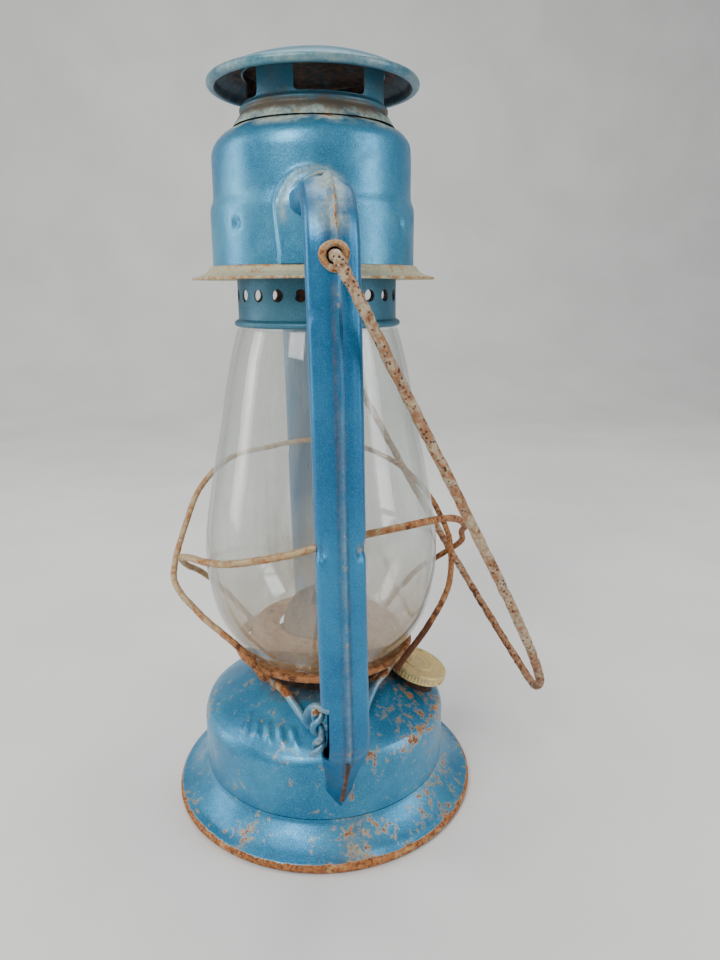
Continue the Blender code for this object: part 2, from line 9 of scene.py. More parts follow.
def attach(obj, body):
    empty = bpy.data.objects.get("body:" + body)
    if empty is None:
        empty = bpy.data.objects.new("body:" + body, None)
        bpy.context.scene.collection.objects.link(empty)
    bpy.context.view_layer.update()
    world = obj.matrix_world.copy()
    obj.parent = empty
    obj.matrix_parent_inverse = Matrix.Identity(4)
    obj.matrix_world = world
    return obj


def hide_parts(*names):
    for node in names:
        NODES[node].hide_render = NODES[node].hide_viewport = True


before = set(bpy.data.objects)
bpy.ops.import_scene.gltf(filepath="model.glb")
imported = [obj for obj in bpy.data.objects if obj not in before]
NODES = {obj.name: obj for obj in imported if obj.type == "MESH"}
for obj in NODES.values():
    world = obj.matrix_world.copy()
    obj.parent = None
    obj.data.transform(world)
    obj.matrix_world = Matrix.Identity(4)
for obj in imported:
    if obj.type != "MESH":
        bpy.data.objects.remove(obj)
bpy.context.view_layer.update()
S = bpy.context.scene
COLL = S.collection
MM = 0.001

# ------------------------------------------------------------------ small tools


def rgb(r, g, b):
    """An sRGB colour, 0 to 255, as linear RGBA."""
    out = []
    for c in (r, g, b):
        c /= 255.0
        out.append(c / 12.92 if c <= 0.04045 else ((c + 0.055) / 1.055) ** 2.4)
    return (*out, 1.0)


def crom(points, per=8, closed=False):
    """Catmull-Rom points through the given ones."""
    p = np.array(points, float)
    if closed:
        full = np.vstack([p[-1], p, p[0], p[1]])
    else:
        full = np.vstack([2 * p[0] - p[1], p, 2 * p[-1] - p[-2]])
    out = []
    for i in range(1, len(full) - 2):
        a, b, c, d = full[i - 1:i + 3]
        for k in range(per):
            t = k / per
            out.append(0.5 * (2 * b + (c - a) * t + (2 * a - 5 * b + 4 * c - d) * t * t
                              + (3 * b - a - 3 * c + d) * t ** 3))
    if not closed:
        out.append(p[-1])
    return np.array(out)


def fine(points, d=0.6, closed=False):
    """Straight runs cut to pieces of at most d."""
    p = np.array(points, float)
    if closed:
        p = np.vstack([p, p[:1]])
    out = []
    for a, b in zip(p[:-1], p[1:]):
        n = max(1, int(math.ceil(np.linalg.norm(b - a) / d)))
        for k in range(n):
            out.append(a + (b - a) * k / n)
    if not closed:
        out.append(p[-1])
    return np.array(out)


def rounded(points, r=0.8, n=4, closed=False):
    """A polyline with its corners rounded over a length r."""
    p = np.array(points, float)
    out = []
    m = len(p)
    for i in range(m):
        if not closed and i in (0, m - 1):
            out.append(p[i])
            continue
        a, b, c = p[i - 1], p[i], p[(i + 1) % m]
        la, lc = np.linalg.norm(a - b), np.linalg.norm(c - b)
        q = min(r, la * 0.45, lc * 0.45)
        u, v = b + (a - b) * q / la, b + (c - b) * q / lc
        for k in range(n + 1):
            t = k / n
            out.append((1 - t) ** 2 * u + 2 * t * (1 - t) * b + t * t * v)
    return np.array(out)


def bead(cx, cz, r, start, stop, n):
    return [(cx + r * math.cos(math.radians(start + (stop - start) * i / n)),
             cz + r * math.sin(math.radians(start + (stop - start) * i / n)))
            for i in range(n + 1)]


def sheet(outer, t):
    """A closed loop round a sheet: the outer line, then its inner side."""
    p = np.array(outer, float)
    d = np.gradient(p, axis=0)
    d /= np.linalg.norm(d, axis=1)[:, None]
    n = np.stack([d[:, 1], -d[:, 0]], 1)      # towards the axis for a falling line
    if n[len(n) // 2][0] > 0:
        n = -n
    inner = p + n * t
    inner[:, 0] = np.maximum(inner[:, 0], 0.02)
    return np.vstack([p, inner[::-1]])


def gauss(x, w):
    return np.exp(-(x / w) ** 2)


def smooth01(x):
    x = np.clip(x, 0, 1)
    return x * x * (3 - 2 * x)


def nz(co, scale, seed=0.0):
    """Smooth noise, -1 to 1, at each point; co in mm."""
    return np.array([noise.noise(Vector((x * scale + seed, y * scale - seed, z * scale)))
                     for x, y, z in co])


def make(name, verts, faces, matrix=None, sharp=42):
    """A mesh object from points in mm."""
    me = bpy.data.meshes.new(name)
    v = np.array(verts, float) * MM
    me.from_pydata(v.tolist(), [], faces)
    me.validate()
    if matrix is not None:
        me.transform(matrix)
    bm = bmesh.new()
    bm.from_mesh(me)
    bmesh.ops.recalc_face_normals(bm, faces=bm.faces)
    bm.to_mesh(me)
    bm.free()
    me.shade_smooth()
    me.set_sharp_from_angle(angle=math.radians(sharp))
    ob = bpy.data.objects.new(name, me)
    COLL.objects.link(ob)
    return ob


def turn(name, loop, steps=128, matrix=None, move=None, cx=0.0, sharp=42):
    """A turned piece from a closed loop of (radius, height) in mm. A loop whose
    ends are on the axis is closed there. move(theta, r, z) gives dr, dz."""
    p = np.array(loop, float)
    poles = abs(p[0][0]) < 1e-6 and abs(p[-1][0]) < 1e-6
    th = np.arange(steps) * 2 * math.pi / steps
    verts, faces = [], []
    inner = p[1:-1] if poles else p
    m = len(inner)
    T, Rr = np.meshgrid(th, inner[:, 0], indexing="ij")
    Z = np.meshgrid(th, inner[:, 1], indexing="ij")[1]
    if move is not None:
        dr, dz = move(T, Rr, Z)
        Rr = Rr + dr
        Z = Z + dz
    X, Y = Rr * np.sin(T) + cx, -Rr * np.cos(T)
    verts = np.stack([X, Y, Z], -1).reshape(-1, 3).tolist()
    for i in range(steps):
        j = (i + 1) % steps
        for k in range(m if not poles else m - 1):
            l = (k + 1) % m
            faces.append((i * m + k, j * m + k, j * m + l, i * m + l))
    if poles:
        a = len(verts)
        verts.append([cx, 0.0, p[0][1]])
        verts.append([cx, 0.0, p[-1][1]])
        for i in range(steps):
            j = (i + 1) % steps
            faces.append((a, j * m, i * m))
            faces.append((a + 1, i * m + m - 1, j * m + m - 1))
    return make(name, verts, faces, matrix, sharp)


def frames_of(path):
    """Tangents and a rotation-minimising normal along a path."""
    p = np.array(path, float)
    t = np.gradient(p, axis=0)
    t /= np.linalg.norm(t, axis=1)[:, None]
    n = np.cross(t[0], [0.3, 0.2, 1.0])
    n /= np.linalg.norm(n)
    ns = [n]
    for a in t[1:]:
        n = n - a * (n @ a)
        n /= np.linalg.norm(n)
        ns.append(n)
    ns = np.array(ns)
    return p, t, ns, np.cross(t, ns)


def wire_mesh(path, r, seg=14, rough=0.0, seed=0.0, scale=0.5):
    """Points and faces of a round wire with rounded ends. r may be a list."""
    p, t, n, b = frames_of(path)
    rr = np.full(len(p), float(r)) if np.isscalar(r) else np.array(r, float)
    step = np.linalg.norm(np.diff(p, axis=0), axis=1)
    s = np.r_[0, np.cumsum(step)]
    for end in (s, s[-1] - s):
        rr = rr * np.sqrt(np.clip(1 - np.clip(1 - end / (0.7 * rr), 0, 1) ** 2, 0.06, 1))
    a = np.arange(seg) * 2 * math.pi / seg
    ring = p[:, None] + rr[:, None, None] * (n[:, None] * np.cos(a)[None, :, None]
                                              + b[:, None] * np.sin(a)[None, :, None])
    v = ring.reshape(-1, 3)
    if rough:
        d = nz(v, scale, seed) + 0.6 * nz(v, scale * 2.6, seed + 5)
        c = np.repeat(p, seg, axis=0)
        out = (v - c)
        v = c + out * (1 + rough * np.minimum(d, 0.35)[:, None] / np.repeat(rr, seg)[:, None])
    f = []
    for i in range(len(p) - 1):
        for k in range(seg):
            l = (k + 1) % seg
            f.append((i * seg + k, i * seg + l, (i + 1) * seg + l, (i + 1) * seg + k))
    f.append(tuple(range(seg))[::-1])
    f.append(tuple((len(p) - 1) * seg + k for k in range(seg)))
    return v, f


def joined(name, parts, sharp=60):
    vs, fs, at = [], [], 0
    for v, f in parts:
        vs.append(np.array(v, float))
        fs += [tuple(i + at for i in q) for q in f]
        at += len(v)
    return make(name, np.vstack(vs), fs, sharp=sharp)


def cut_with(ob, cutters):
    """Exact difference, applied."""
    for c in cutters:
        m = ob.modifiers.new("cut", "BOOLEAN")
        m.operation, m.object, m.solver = "DIFFERENCE", c, "EXACT"
    bpy.context.view_layer.update()
    dg = bpy.context.evaluated_depsgraph_get()
    me = bpy.data.meshes.new_from_object(ob.evaluated_get(dg))
    ob.modifiers.clear()
    old = ob.data
    ob.data = me
    bpy.data.meshes.remove(old)
    for c in cutters:
        bpy.data.objects.remove(c, do_unlink=True)
    me.shade_smooth()
    me.set_sharp_from_angle(angle=math.radians(38))
    return ob


def prism(name, outline, half, matrix):
    """A cutter: an outline in its local XY, half deep along Z both ways; mm."""
    n = len(outline)
    v = [(x, y, -half) for x, y in outline] + [(x, y, half) for x, y in outline]
    f = [tuple(range(n))[::-1], tuple(range(n, 2 * n))]
    f += [(i, (i + 1) % n, n + (i + 1) % n, n + i) for i in range(n)]
    return make(name, v, f, matrix)


def circle(r, n=20):
    return [(r * math.cos(2 * math.pi * i / n), r * math.sin(2 * math.pi * i / n))
            for i in range(n)]


def attribute(ob, name, values):
    at = ob.data.attributes.new(name, "FLOAT", "POINT")
    at.data.foreach_set("value", np.clip(values, 0, 1).astype(np.float32))


def coords(ob):
    co = np.zeros(len(ob.data.vertices) * 3)
    ob.data.vertices.foreach_get("co", co)
    return co.reshape(-1, 3) / MM


def done(ob, mat, body, nodes, wear=None, dirt=None, pale=None, soot_and_shade=None):
    ob.data.materials.clear()
    ob.data.materials.append(mat)
    co = coords(ob)
    attribute(ob, "wear", np.zeros(len(co)) if wear is None else wear(co))
    attribute(ob, "dirt", np.zeros(len(co)) if dirt is None else dirt(co))
    attribute(ob, "pale", np.zeros(len(co)) if pale is None else pale(co))
    attribute(ob, "soot_and_shade", np.zeros(len(co)) if soot_and_shade is None else soot_and_shade(co))
    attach(ob, body)
    if nodes:
        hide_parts(*nodes)
    return ob


# ------------------------------------------------------------------ materials
class Tree:
    """Short names for building a node tree."""

    def __init__(self, name):
        self.mat = bpy.data.materials.new(name)
        self.mat.use_nodes = True
        self.nt = self.mat.node_tree
        self.nt.nodes.clear()
        self.out = self.nt.nodes.new("ShaderNodeOutputMaterial")
        self.co = self.nt.nodes.new("ShaderNodeTexCoord").outputs["Object"]

    def put(self, socket, value):
        if isinstance(value, bpy.types.NodeSocket):
            self.nt.links.new(value, socket)
        else:
            socket.default_value = value

    def mapped(self, scale):
        n = self.nt.nodes.new("ShaderNodeMapping")
        n.inputs["Scale"].default_value = scale
        self.nt.links.new(self.co, n.inputs["Vector"])
        return n.outputs["Vector"]

    def noise(self, scale, detail=4.0, rough=0.55, distortion=0.0, stretch=None):
        n = self.nt.nodes.new("ShaderNodeTexNoise")
        n.inputs["Scale"].default_value = scale
        n.inputs["Detail"].default_value = detail
        n.inputs["Roughness"].default_value = rough
        n.inputs["Distortion"].default_value = distortion
        self.nt.links.new(self.mapped(stretch) if stretch else self.co, n.inputs["Vector"])
        return n.outputs["Fac"]

    def voronoi(self, scale, feature="F1", stretch=None):
        n = self.nt.nodes.new("ShaderNodeTexVoronoi")
        n.feature = feature
        n.inputs["Scale"].default_value = scale
        self.nt.links.new(self.mapped(stretch) if stretch else self.co, n.inputs["Vector"])
        return n.outputs["Distance"]

    def attr(self, name):
        n = self.nt.nodes.new("ShaderNodeAttribute")
        n.attribute_name = name
        return n.outputs["Fac"]

    def z(self):
        n = self.nt.nodes.new("ShaderNodeSeparateXYZ")
        self.nt.links.new(self.co, n.inputs[0])
        return n.outputs["Z"]

    def math(self, op, a, b=0.0, clamp=False):
        n = self.nt.nodes.new("ShaderNodeMath")
        n.operation = op
        n.use_clamp = clamp
        self.put(n.inputs[0], a)
        self.put(n.inputs[1], b)
        return n.outputs[0]

    def band(self, value, a, b, lo=0.0, hi=1.0, smooth=True):
        n = self.nt.nodes.new("ShaderNodeMapRange")
        n.interpolation_type = "SMOOTHSTEP" if smooth else "LINEAR"
        self.put(n.inputs["Value"], value)
        for k, v in (("From Min", a), ("From Max", b), ("To Min", lo), ("To Max", hi)):
            n.inputs[k].default_value = v
        return n.outputs["Result"]

    def mix(self, fac, a, b):
        n = self.nt.nodes.new("ShaderNodeMix")
        n.data_type = "RGBA"
        self.put(n.inputs[0], fac)
        self.put(n.inputs[6], a)
        self.put(n.inputs[7], b)
        return n.outputs[2]

    def bump(self, height, strength, distance):
        n = self.nt.nodes.new("ShaderNodeBump")
        n.inputs["Strength"].default_value = strength
        n.inputs["Distance"].default_value = distance
        self.nt.links.new(height, n.inputs["Height"])
        return n.outputs["Normal"]

    def surface(self, **kw):
        n = self.nt.nodes.new("ShaderNodeBsdfPrincipled")
        for k, v in kw.items():
            self.put(n.inputs[k.replace("_", " ")], v)
        self.nt.links.new(n.outputs[0], self.out.inputs["Surface"])
        return n


def enamel(name, base, light, dark, amount=0.34, grime=0.35, metal=0.55, rough=0.33):
    """Hammered metallic enamel with chips down to rust."""
    t = Tree(name)
    grain = t.noise(3200, 2, 0.5)
    fleck = t.voronoi(2300)
    cloud = t.noise(38, 5, 0.6)
    c = t.mix(t.band(cloud, 0.34, 0.70, 0.0, 0.55), base, light)
    c = t.mix(t.band(grain, 0.50, 0.70, 0.0, 0.58), c, light)
    c = t.mix(t.band(grain, 0.50, 0.28, 0.0, 0.34), c, dark)
    stain = t.noise(120, 6, 0.7)
    c = t.mix(t.band(t.noise(300, 6, 0.75), 0.56, 0.80, 0.0, 0.30), c, rgb(128, 140, 128))
    # pale: faded chalky paint, and in places a painted highlight (cap top, tube seam ridge, lift lever)
    pale = t.math("MULTIPLY", t.attr("pale"), t.band(t.noise(90, 7, 0.7), 0.36, 0.56), clamp=True)
    c = t.mix(pale, c, t.mix(t.band(t.noise(600, 4, 0.7), 0.35, 0.65), rgb(190, 196, 178), rgb(132, 152, 146)))
    c = t.mix(t.band(t.math("ADD", stain, t.math("MULTIPLY", t.attr("dirt"), 0.42)),
                     0.60, 0.95, 0.0, grime * 2.0), c, rgb(92, 78, 58))
    wear = t.attr("wear")
    spot = t.noise(340, 7, 0.70, 0.25)
    blot = t.noise(75, 4, 0.6)
    tiny = t.noise(1200, 4, 0.7)
    level = t.math("ADD", t.math("MULTIPLY", spot, 0.66), t.math("MULTIPLY", blot, 0.36))
    level = t.math("ADD", level, t.math("MULTIPLY", tiny, 0.06))
    level = t.math("ADD", level, t.math("MULTIPLY", wear, 0.30))
    edge = 0.82 - amount * 0.42
    chip = t.band(level, edge - 0.018, edge + 0.014)
    halo = t.band(level, edge - 0.075, edge - 0.006, 0.0, 0.72)
    c = t.mix(halo, c, rgb(186, 168, 132))
    rustc = t.mix(t.band(t.noise(900, 5, 0.7), 0.35, 0.66), rgb(178, 112, 60), rgb(96, 54, 30))
    rustc = t.mix(t.band(t.noise(260, 3, 0.6), 0.50, 0.75, 0.0, 0.8), rustc, rgb(206, 166, 112))
    c = t.mix(chip, c, rustc)
    # dark mix: real soot inside the hood and canopy, and painted shadow in the grooves beside the tube seams
    soot_and_shade = t.math("MULTIPLY", t.attr("soot_and_shade"), t.band(t.noise(180, 5, 0.7), 0.15, 0.50, 0.55, 1.0))
    c = t.mix(soot_and_shade, c, t.mix(t.band(t.noise(420, 6, 0.7), 0.42, 0.62), rgb(38, 30, 26), rgb(98, 62, 40)))
    h = t.math("ADD", t.math("MULTIPLY", grain, 0.20), t.math("MULTIPLY", fleck, 0.10))
    h = t.math("SUBTRACT", h, t.math("MULTIPLY", chip, t.math("MULTIPLY", tiny, 0.60)))
    dull = t.math("MAXIMUM", chip, t.math("MAXIMUM", soot_and_shade, t.math("MULTIPLY", pale, 0.8)))
    rg = t.band(dull, 0.0, 1.0, rough, 0.88)
    rg = t.math("ADD", rg, t.band(stain, 0.45, 0.75, 0.0, 0.18))
    t.surface(Base_Color=c, Roughness=rg, Metallic=t.band(dull, 0, 1, metal, 0.0),
              Normal=t.bump(h, 0.38, 0.0005), IOR=1.5)
    return t.mat


def plated(name, cream, rust_l, rust_d, amount, rough=0.55, metal=0.25, scale=1.0, pits=0.0):
    """Worn pale plating over orange and dark rust."""
    t = Tree(name)
    a = t.noise(300 * scale, 8, 0.72, 0.3)
    b = t.noise(70 * scale, 4, 0.6)
    f = t.noise(1500, 4, 0.7)
    level = t.math("ADD", t.math("MULTIPLY", a, 0.70), t.math("MULTIPLY", b, 0.35))
    level = t.math("ADD", level, t.math("MULTIPLY", t.attr("wear"), 0.26))
    e = 0.80 - amount * 0.45
    c = t.mix(t.band(f, 0.35, 0.7), cream, tuple(x * 0.74 for x in cream[:3]) + (1.0,))
    c = t.mix(t.band(t.noise(210 * scale, 4, 0.6), 0.50, 0.72, 0.0, 0.55), c, rgb(150, 154, 140))
    c = t.mix(t.band(level, e - 0.12, e, 0.0, 0.9), c, rust_l)
    c = t.mix(t.band(level, e + 0.02, e + 0.09), c, rust_d)
    c = t.mix(t.band(t.math("ADD", f, t.math("MULTIPLY", t.attr("dirt"), 0.5)), 0.66, 0.98, 0.0, 0.8),
              c, rgb(60, 38, 26))
    mask = t.band(level, e - 0.1, e + 0.03)
    h = t.math("ADD", t.math("MULTIPLY", f, 0.45),
               t.math("MULTIPLY", mask, t.math("MULTIPLY", a, 0.9)))
    if pits:
        pit = t.band(t.math("ADD", t.voronoi(760), t.math("MULTIPLY", t.noise(900, 3, 0.6), 0.55)), 0.46, 0.62, 1.0, 0.0)
        pit = t.math("MULTIPLY", pit, t.band(t.noise(160, 4, 0.6), 0.36, 0.56, 0.25, pits))
        c = t.mix(pit, c, rgb(64, 36, 24))
        h = t.math("SUBTRACT", h, t.math("MULTIPLY", pit, 1.3))
    c = t.mix(t.attr("soot_and_shade"), c, rgb(30, 25, 22))
    t.surface(Base_Color=c, Roughness=t.band(mask, 0, 1, rough, 0.92),
              Metallic=t.band(mask, 0, 1, metal, 0.0), Normal=t.bump(h, 0.6, 0.0006))
    return t.mat


B0, B1, B2 = rgb(36, 116, 158), rgb(86, 170, 206), rgb(14, 70, 110)
BLUE = enamel("blue_enamel", B0, B1, B2, 0.37)
BLUE_TUBE = enamel("blue_enamel_tube", rgb(24, 100, 146), rgb(56, 142, 186), B2, 0.08, 0.22)
BLUE_TOP = enamel("blue_enamel_canopy", rgb(44, 124, 166), rgb(98, 180, 210), rgb(20, 80, 120), 0.11, 0.25)
BLUE_CAP = enamel("blue_enamel_cap", rgb(40, 100, 126), rgb(86, 146, 162), rgb(20, 64, 88), 0.08, 0.5, 0.4)
TEAL = enamel("teal_enamel", rgb(36, 92, 116), rgb(74, 132, 152), rgb(16, 52, 72), 0.06, 0.45, 0.4, 0.45)
WIRE = plated("cream_wire", rgb(190, 164, 122), rgb(166, 104, 56), rgb(92, 52, 30), 0.43, 0.5, 0.3, 1.8)
BAILM = plated("cream_bail", rgb(192, 172, 140), rgb(158, 106, 70), rgb(88, 50, 32), 0.44, 0.5, 0.25, 1.6, 0.95)
FLANGE = plated("cream_flange", rgb(196, 188, 154), rgb(178, 124, 74), rgb(120, 72, 40), 0.22, 0.5, 0.3, 1.6)
PLATE = plated("cream_plate", rgb(190, 154, 108), rgb(164, 102, 56), rgb(92, 54, 32), 0.48, 0.6, 0.2, 1.4)
RUSTM = plated("rust_brown", rgb(176, 132, 92), rgb(146, 90, 50), rgb(76, 44, 26), 0.75, 0.75)
DARK = plated("dark_rust", rgb(96, 70, 52), rgb(70, 44, 30), rgb(34, 22, 16), 0.7, 0.8, 0.1)
CONE = plated("cone_rust", rgb(104, 86, 70), rgb(112, 74, 48), rgb(54, 38, 28), 0.46, 0.7, 0.2, 1.4)
SOOT = plated("soot_and_shade", rgb(40, 36, 33), rgb(30, 26, 24), rgb(16, 13, 12), 0.6, 0.9, 0.0)
CAPM = plated("cap_cream", rgb(236, 208, 142), rgb(196, 156, 98), rgb(136, 92, 54), 0.12, 0.42, 0.35, 1.5)
BRASS = plated("brass_dull", rgb(176, 148, 92), rgb(128, 98, 58), rgb(70, 52, 32), 0.3, 0.4, 0.8)
CORKM = plated("cork", rgb(176, 132, 86), rgb(140, 98, 60), rgb(90, 60, 36), 0.3, 0.9, 0.0)


def cotton():
    t = Tree("wick_cotton")
    w = t.nt.nodes.new("ShaderNodeTexWave")
    w.inputs["Scale"].default_value = 900
    t.nt.links.new(t.co, w.inputs["Vector"])
    c = t.mix(t.band(t.z(), 0.060, 0.072), rgb(150, 136, 112), rgb(22, 18, 16))
    c = t.mix(t.math("MULTIPLY", w.outputs["Fac"], 0.35), c, rgb(30, 25, 22))
    t.surface(Base_Color=c, Roughness=0.95, Normal=t.bump(w.outputs["Fac"], 0.7, 0.0005))
    return t.mat


def globe_glass():
    """Clear glass seen through, with streaks of dust, thicker low down."""
    t = Tree("globe_glass")
    streak = t.noise(70, 5, 0.6, 0.2, (1.0, 1.0, 0.09))
    fleck = t.noise(1100, 3, 0.6)
    cloud = t.noise(42, 4, 0.6)
    low = t.band(t.z(), 0.060, 0.108, 1.0, 0.0)
    dust = t.math("ADD", t.band(streak, 0.44, 0.72, 0.03, 0.26), t.band(fleck, 0.60, 0.74, 0.0, 0.26))
    dust = t.math("ADD", dust, t.math("MULTIPLY", low, t.band(cloud, 0.2, 0.8, 0.16, 0.42)))
    lw = t.nt.nodes.new("ShaderNodeLayerWeight")
    lw.inputs["Blend"].default_value = 0.34
    edge = t.band(lw.outputs["Facing"], 0.34, 1.0, 0.0, 0.70)
    fac = t.math("ADD", t.math("ADD", dust, edge), 0.05, clamp=True)
    n = t.nt.nodes.new("ShaderNodeBsdfPrincipled")
    c = t.mix(low, rgb(206, 206, 198), rgb(190, 158, 114))
    t.put(n.inputs["Base Color"], t.mix(t.band(edge, 0.05, 0.45), c, rgb(112, 122, 120)))
    t.put(n.inputs["Roughness"], t.band(streak, 0.4, 0.7, 0.10, 0.30))
    n.inputs["Coat Weight"].default_value = 1.0
    n.inputs["Coat IOR"].default_value = 2.8
    n.inputs["Coat Roughness"].default_value = 0.05
    tr = t.nt.nodes.new("ShaderNodeBsdfTransparent")
    tr.inputs["Color"].default_value = (0.955, 0.968, 0.962, 1.0)
    m = t.nt.nodes.new("ShaderNodeMixShader")
    t.nt.links.new(fac, m.inputs[0])
    t.nt.links.new(tr.outputs[0], m.inputs[1])
    t.nt.links.new(n.outputs[0], m.inputs[2])
    t.nt.links.new(m.outputs[0], t.out.inputs["Surface"])
    return t.mat


COTTON = cotton()
GLASS = globe_glass()

# ------------------------------------------------------------------ foot and fount
foot_out = crom([(45.4, 12.6), (46.0, 11.3), (47.2, 9.8), (48.7, 8.15), (50.4, 6.7),
                 (52.0, 5.5), (53.2, 4.75)], 4)
foot_in = crom([(52.6, 3.9), (51.4, 4.7), (49.9, 6.1), (48.2, 7.6), (46.7, 9.4), (44.8, 12.6)], 4)
foot_loop = np.vstack([foot_out, np.array(bead(54.5, 2.1, 2.06, 84, -172, 26)), foot_in])
done(turn("foot_skirt", foot_loop, 192,
          move=lambda t, r, z: (0.10 * np.sin(5 * t + 1) * smooth01((r - 46) / 8) - 0.1 * smooth01((r - 46) / 8),
                                0.0 * z)),
     BLUE, "lantern_body", ["base_skirt"],
     wear=lambda c: np.clip(0.80 * smooth01((np.hypot(c[:, 0], c[:, 1]) - 55.35) / 0.7)
                            + 0.14 * smooth01((c[:, 0] + 5) / 30)
                            + 0.10 * gauss(c[:, 0] - 3, 9) * (c[:, 1] < -44)
                            + 0.12 * gauss(np.hypot(c[:, 0] + 26, c[:, 1] + 40), 9), 0, 1),
     dirt=lambda c: 0.35 * smooth01((8 - c[:, 2]) / 6) + 0.5 * gauss(c[:, 0] - 4, 7) * (c[:, 1] < -44),
     pale=lambda c: 0.18 * gauss(c[:, 0] - 4, 6) * (c[:, 1] < -44))

DOME_TOP = crom([(17.6, 49.5), (22, 48.4), (29, 44.7), (36.5, 40.3), (41, 37.4), (43.9, 35.0)], 6)
dome_line = np.vstack([DOME_TOP, rounded([(43.9, 35.0), (45.4, 31.6), (45.4, 28.0)], 2.2, 5)[1:],
                       fine([(45.4, 27.5), (45.4, 12.9)], 1.4)])


def dome_z(rho):
    return np.interp(rho, dome_line[:len(DOME_TOP), 0], dome_line[:len(DOME_TOP), 1])


def dome_move(t, r, z):
    """Plain short ribs on the left of the dome, and light unevenness."""
    dz = 0.12 * np.sin(3 * t + 0.7) * smooth01((r - 20) / 10)
    az = np.degrees((t + math.pi) % (2 * math.pi) - math.pi)       # from the front towards +X
    for k in range(5):
        a0 = -50.0 + k * 7.2
        along = (r - 38.6) / 3.4
        across = (az - a0 - (r - 38.6) * 0.9) / 1.7
        m = gauss(across, 1.0) * smooth01(1.6 - np.abs(along) * 1.5) * (z > 33)
        dz = dz + 0.95 * m
    return 0.0 * r, dz * (z > 33)


fount = turn("fount", sheet(dome_line, 0.6), 320, move=dome_move)
done(fount, BLUE, "lantern_body", ["fount_shell"],
     wear=lambda c: np.clip(0.10 * gauss(c[:, 2] - 34, 2.5) + 0.15 * smooth01((c[:, 0]) / 25)
                            + 0.30 * smooth01((c[:, 2] - 45) / 3) - 0.10 * (c[:, 2] < 30)
                            + 0.16 * gauss(np.hypot(c[:, 0] - 36, c[:, 1] + 8), 10) * (c[:, 2] > 34), 0, 1),
     dirt=lambda c: 0.9 * smooth01((c[:, 2] - 42.5) / 5))
# filler cap, in its own tilted frame
FD, FT = math.radians(12.2), math.radians(19.0)
f_out = Vector((math.cos(FD), -math.sin(FD), 0))
f_top = f_out * 0.0364 + Vector((0, 0, 0.0484))
F_TURN = Matrix.Translation(f_top) @ Matrix.Rotation(-FD, 4, "Z") @ Matrix.Rotation(FT, 4, "Y")
cap_loop = np.vstack([[(0, -0.1)], crom([(0.6, -0.2), (4.1, -0.3), (4.7, -0.02), (5.6, -0.02), (6.2, -0.45),
                                         (8.6, -0.45), (9.3, -0.08), (10.5, -0.08), (11.2, -0.5), (11.32, -1.0)], 5),
                      fine([(11.32, -1.3), (11.32, -3.0)], 0.4), rounded([(11.4, -3.3), (11.4, -3.6), (10.6, -3.6)], 0.15, 2),
                      [(10.5, -3.2), (10.5, -1.2), (9.8, -1.05), (0, -1.0)]])


def knurl(t, r, z):
    m = smooth01((r - 11.1) / 0.25) * smooth01((-0.8 - z) / 0.4) * smooth01((z + 3.3) / 0.3)
    return -0.26 * m * (0.5 + 0.5 * np.cos(54 * t)), 0.0 * z


done(turn("filler_cap_fine", cap_loop, 324, F_TURN, move=knurl), CAPM, "filler_cap", ["filler_cap"],
     wear=lambda c: 0.25 + 0.0 * c[:, 0],
     dirt=lambda c: 0.6 * gauss(c[:, 2] - 41.5, 3))
neck_loop = rounded([(6.3, -1.6), (7.6, -1.6), (7.6, -8.0), (8.9, -9.6), (8.9, -13.0), (6.3, -13.0)], 0.3, 3, True)
done(turn("filler_neck_fine", fine(neck_loop, 0.8, True), 96, F_TURN), DARK, "lantern_body",
     ["filler_neck"])

# ------------------------------------------------------------------ side tubes
TUBE_Y, TUBE_TOP, ELBOW = 66.8, 210.1, 15.4
SLOPE = np.array([26.0, -36.3]) / math.hypot(26.0, 36.3)


def lean(z):
    return -0.0155 * np.maximum(0, z - 45.0)


def tube_line():
    pts = list(fine([(-31.6, TUBE_TOP), (-51.4, TUBE_TOP)], 0.8)[:-1])
    cy, cz = -(TUBE_Y - ELBOW), TUBE_TOP - ELBOW
    for i in range(30):
        a = math.radians(90 + 90 * i / 29)
        pts.append((cy + ELBOW * math.cos(a), cz + ELBOW * math.sin(a)))
    pts += list(fine([(-TUBE_Y, 193.9), (-TUBE_Y, 118.0), (-67.2, 61.0)], 0.8)[1:-1])
    knee = rounded([(-67.2, 61.6), (-67.0, 57.0), (-66.1, 54.9)] + [(-66.1 + SLOPE[0] * 3, 54.9 + SLOPE[1] * 3)],
                   1.2, 4)
    pts += [tuple(p) for p in knee]
    a = np.array([-66.1, 54.9])
    pts += [tuple(a + SLOPE * d) for d in np.arange(3.8, 46.4, 0.8)]
    return np.array(pts)


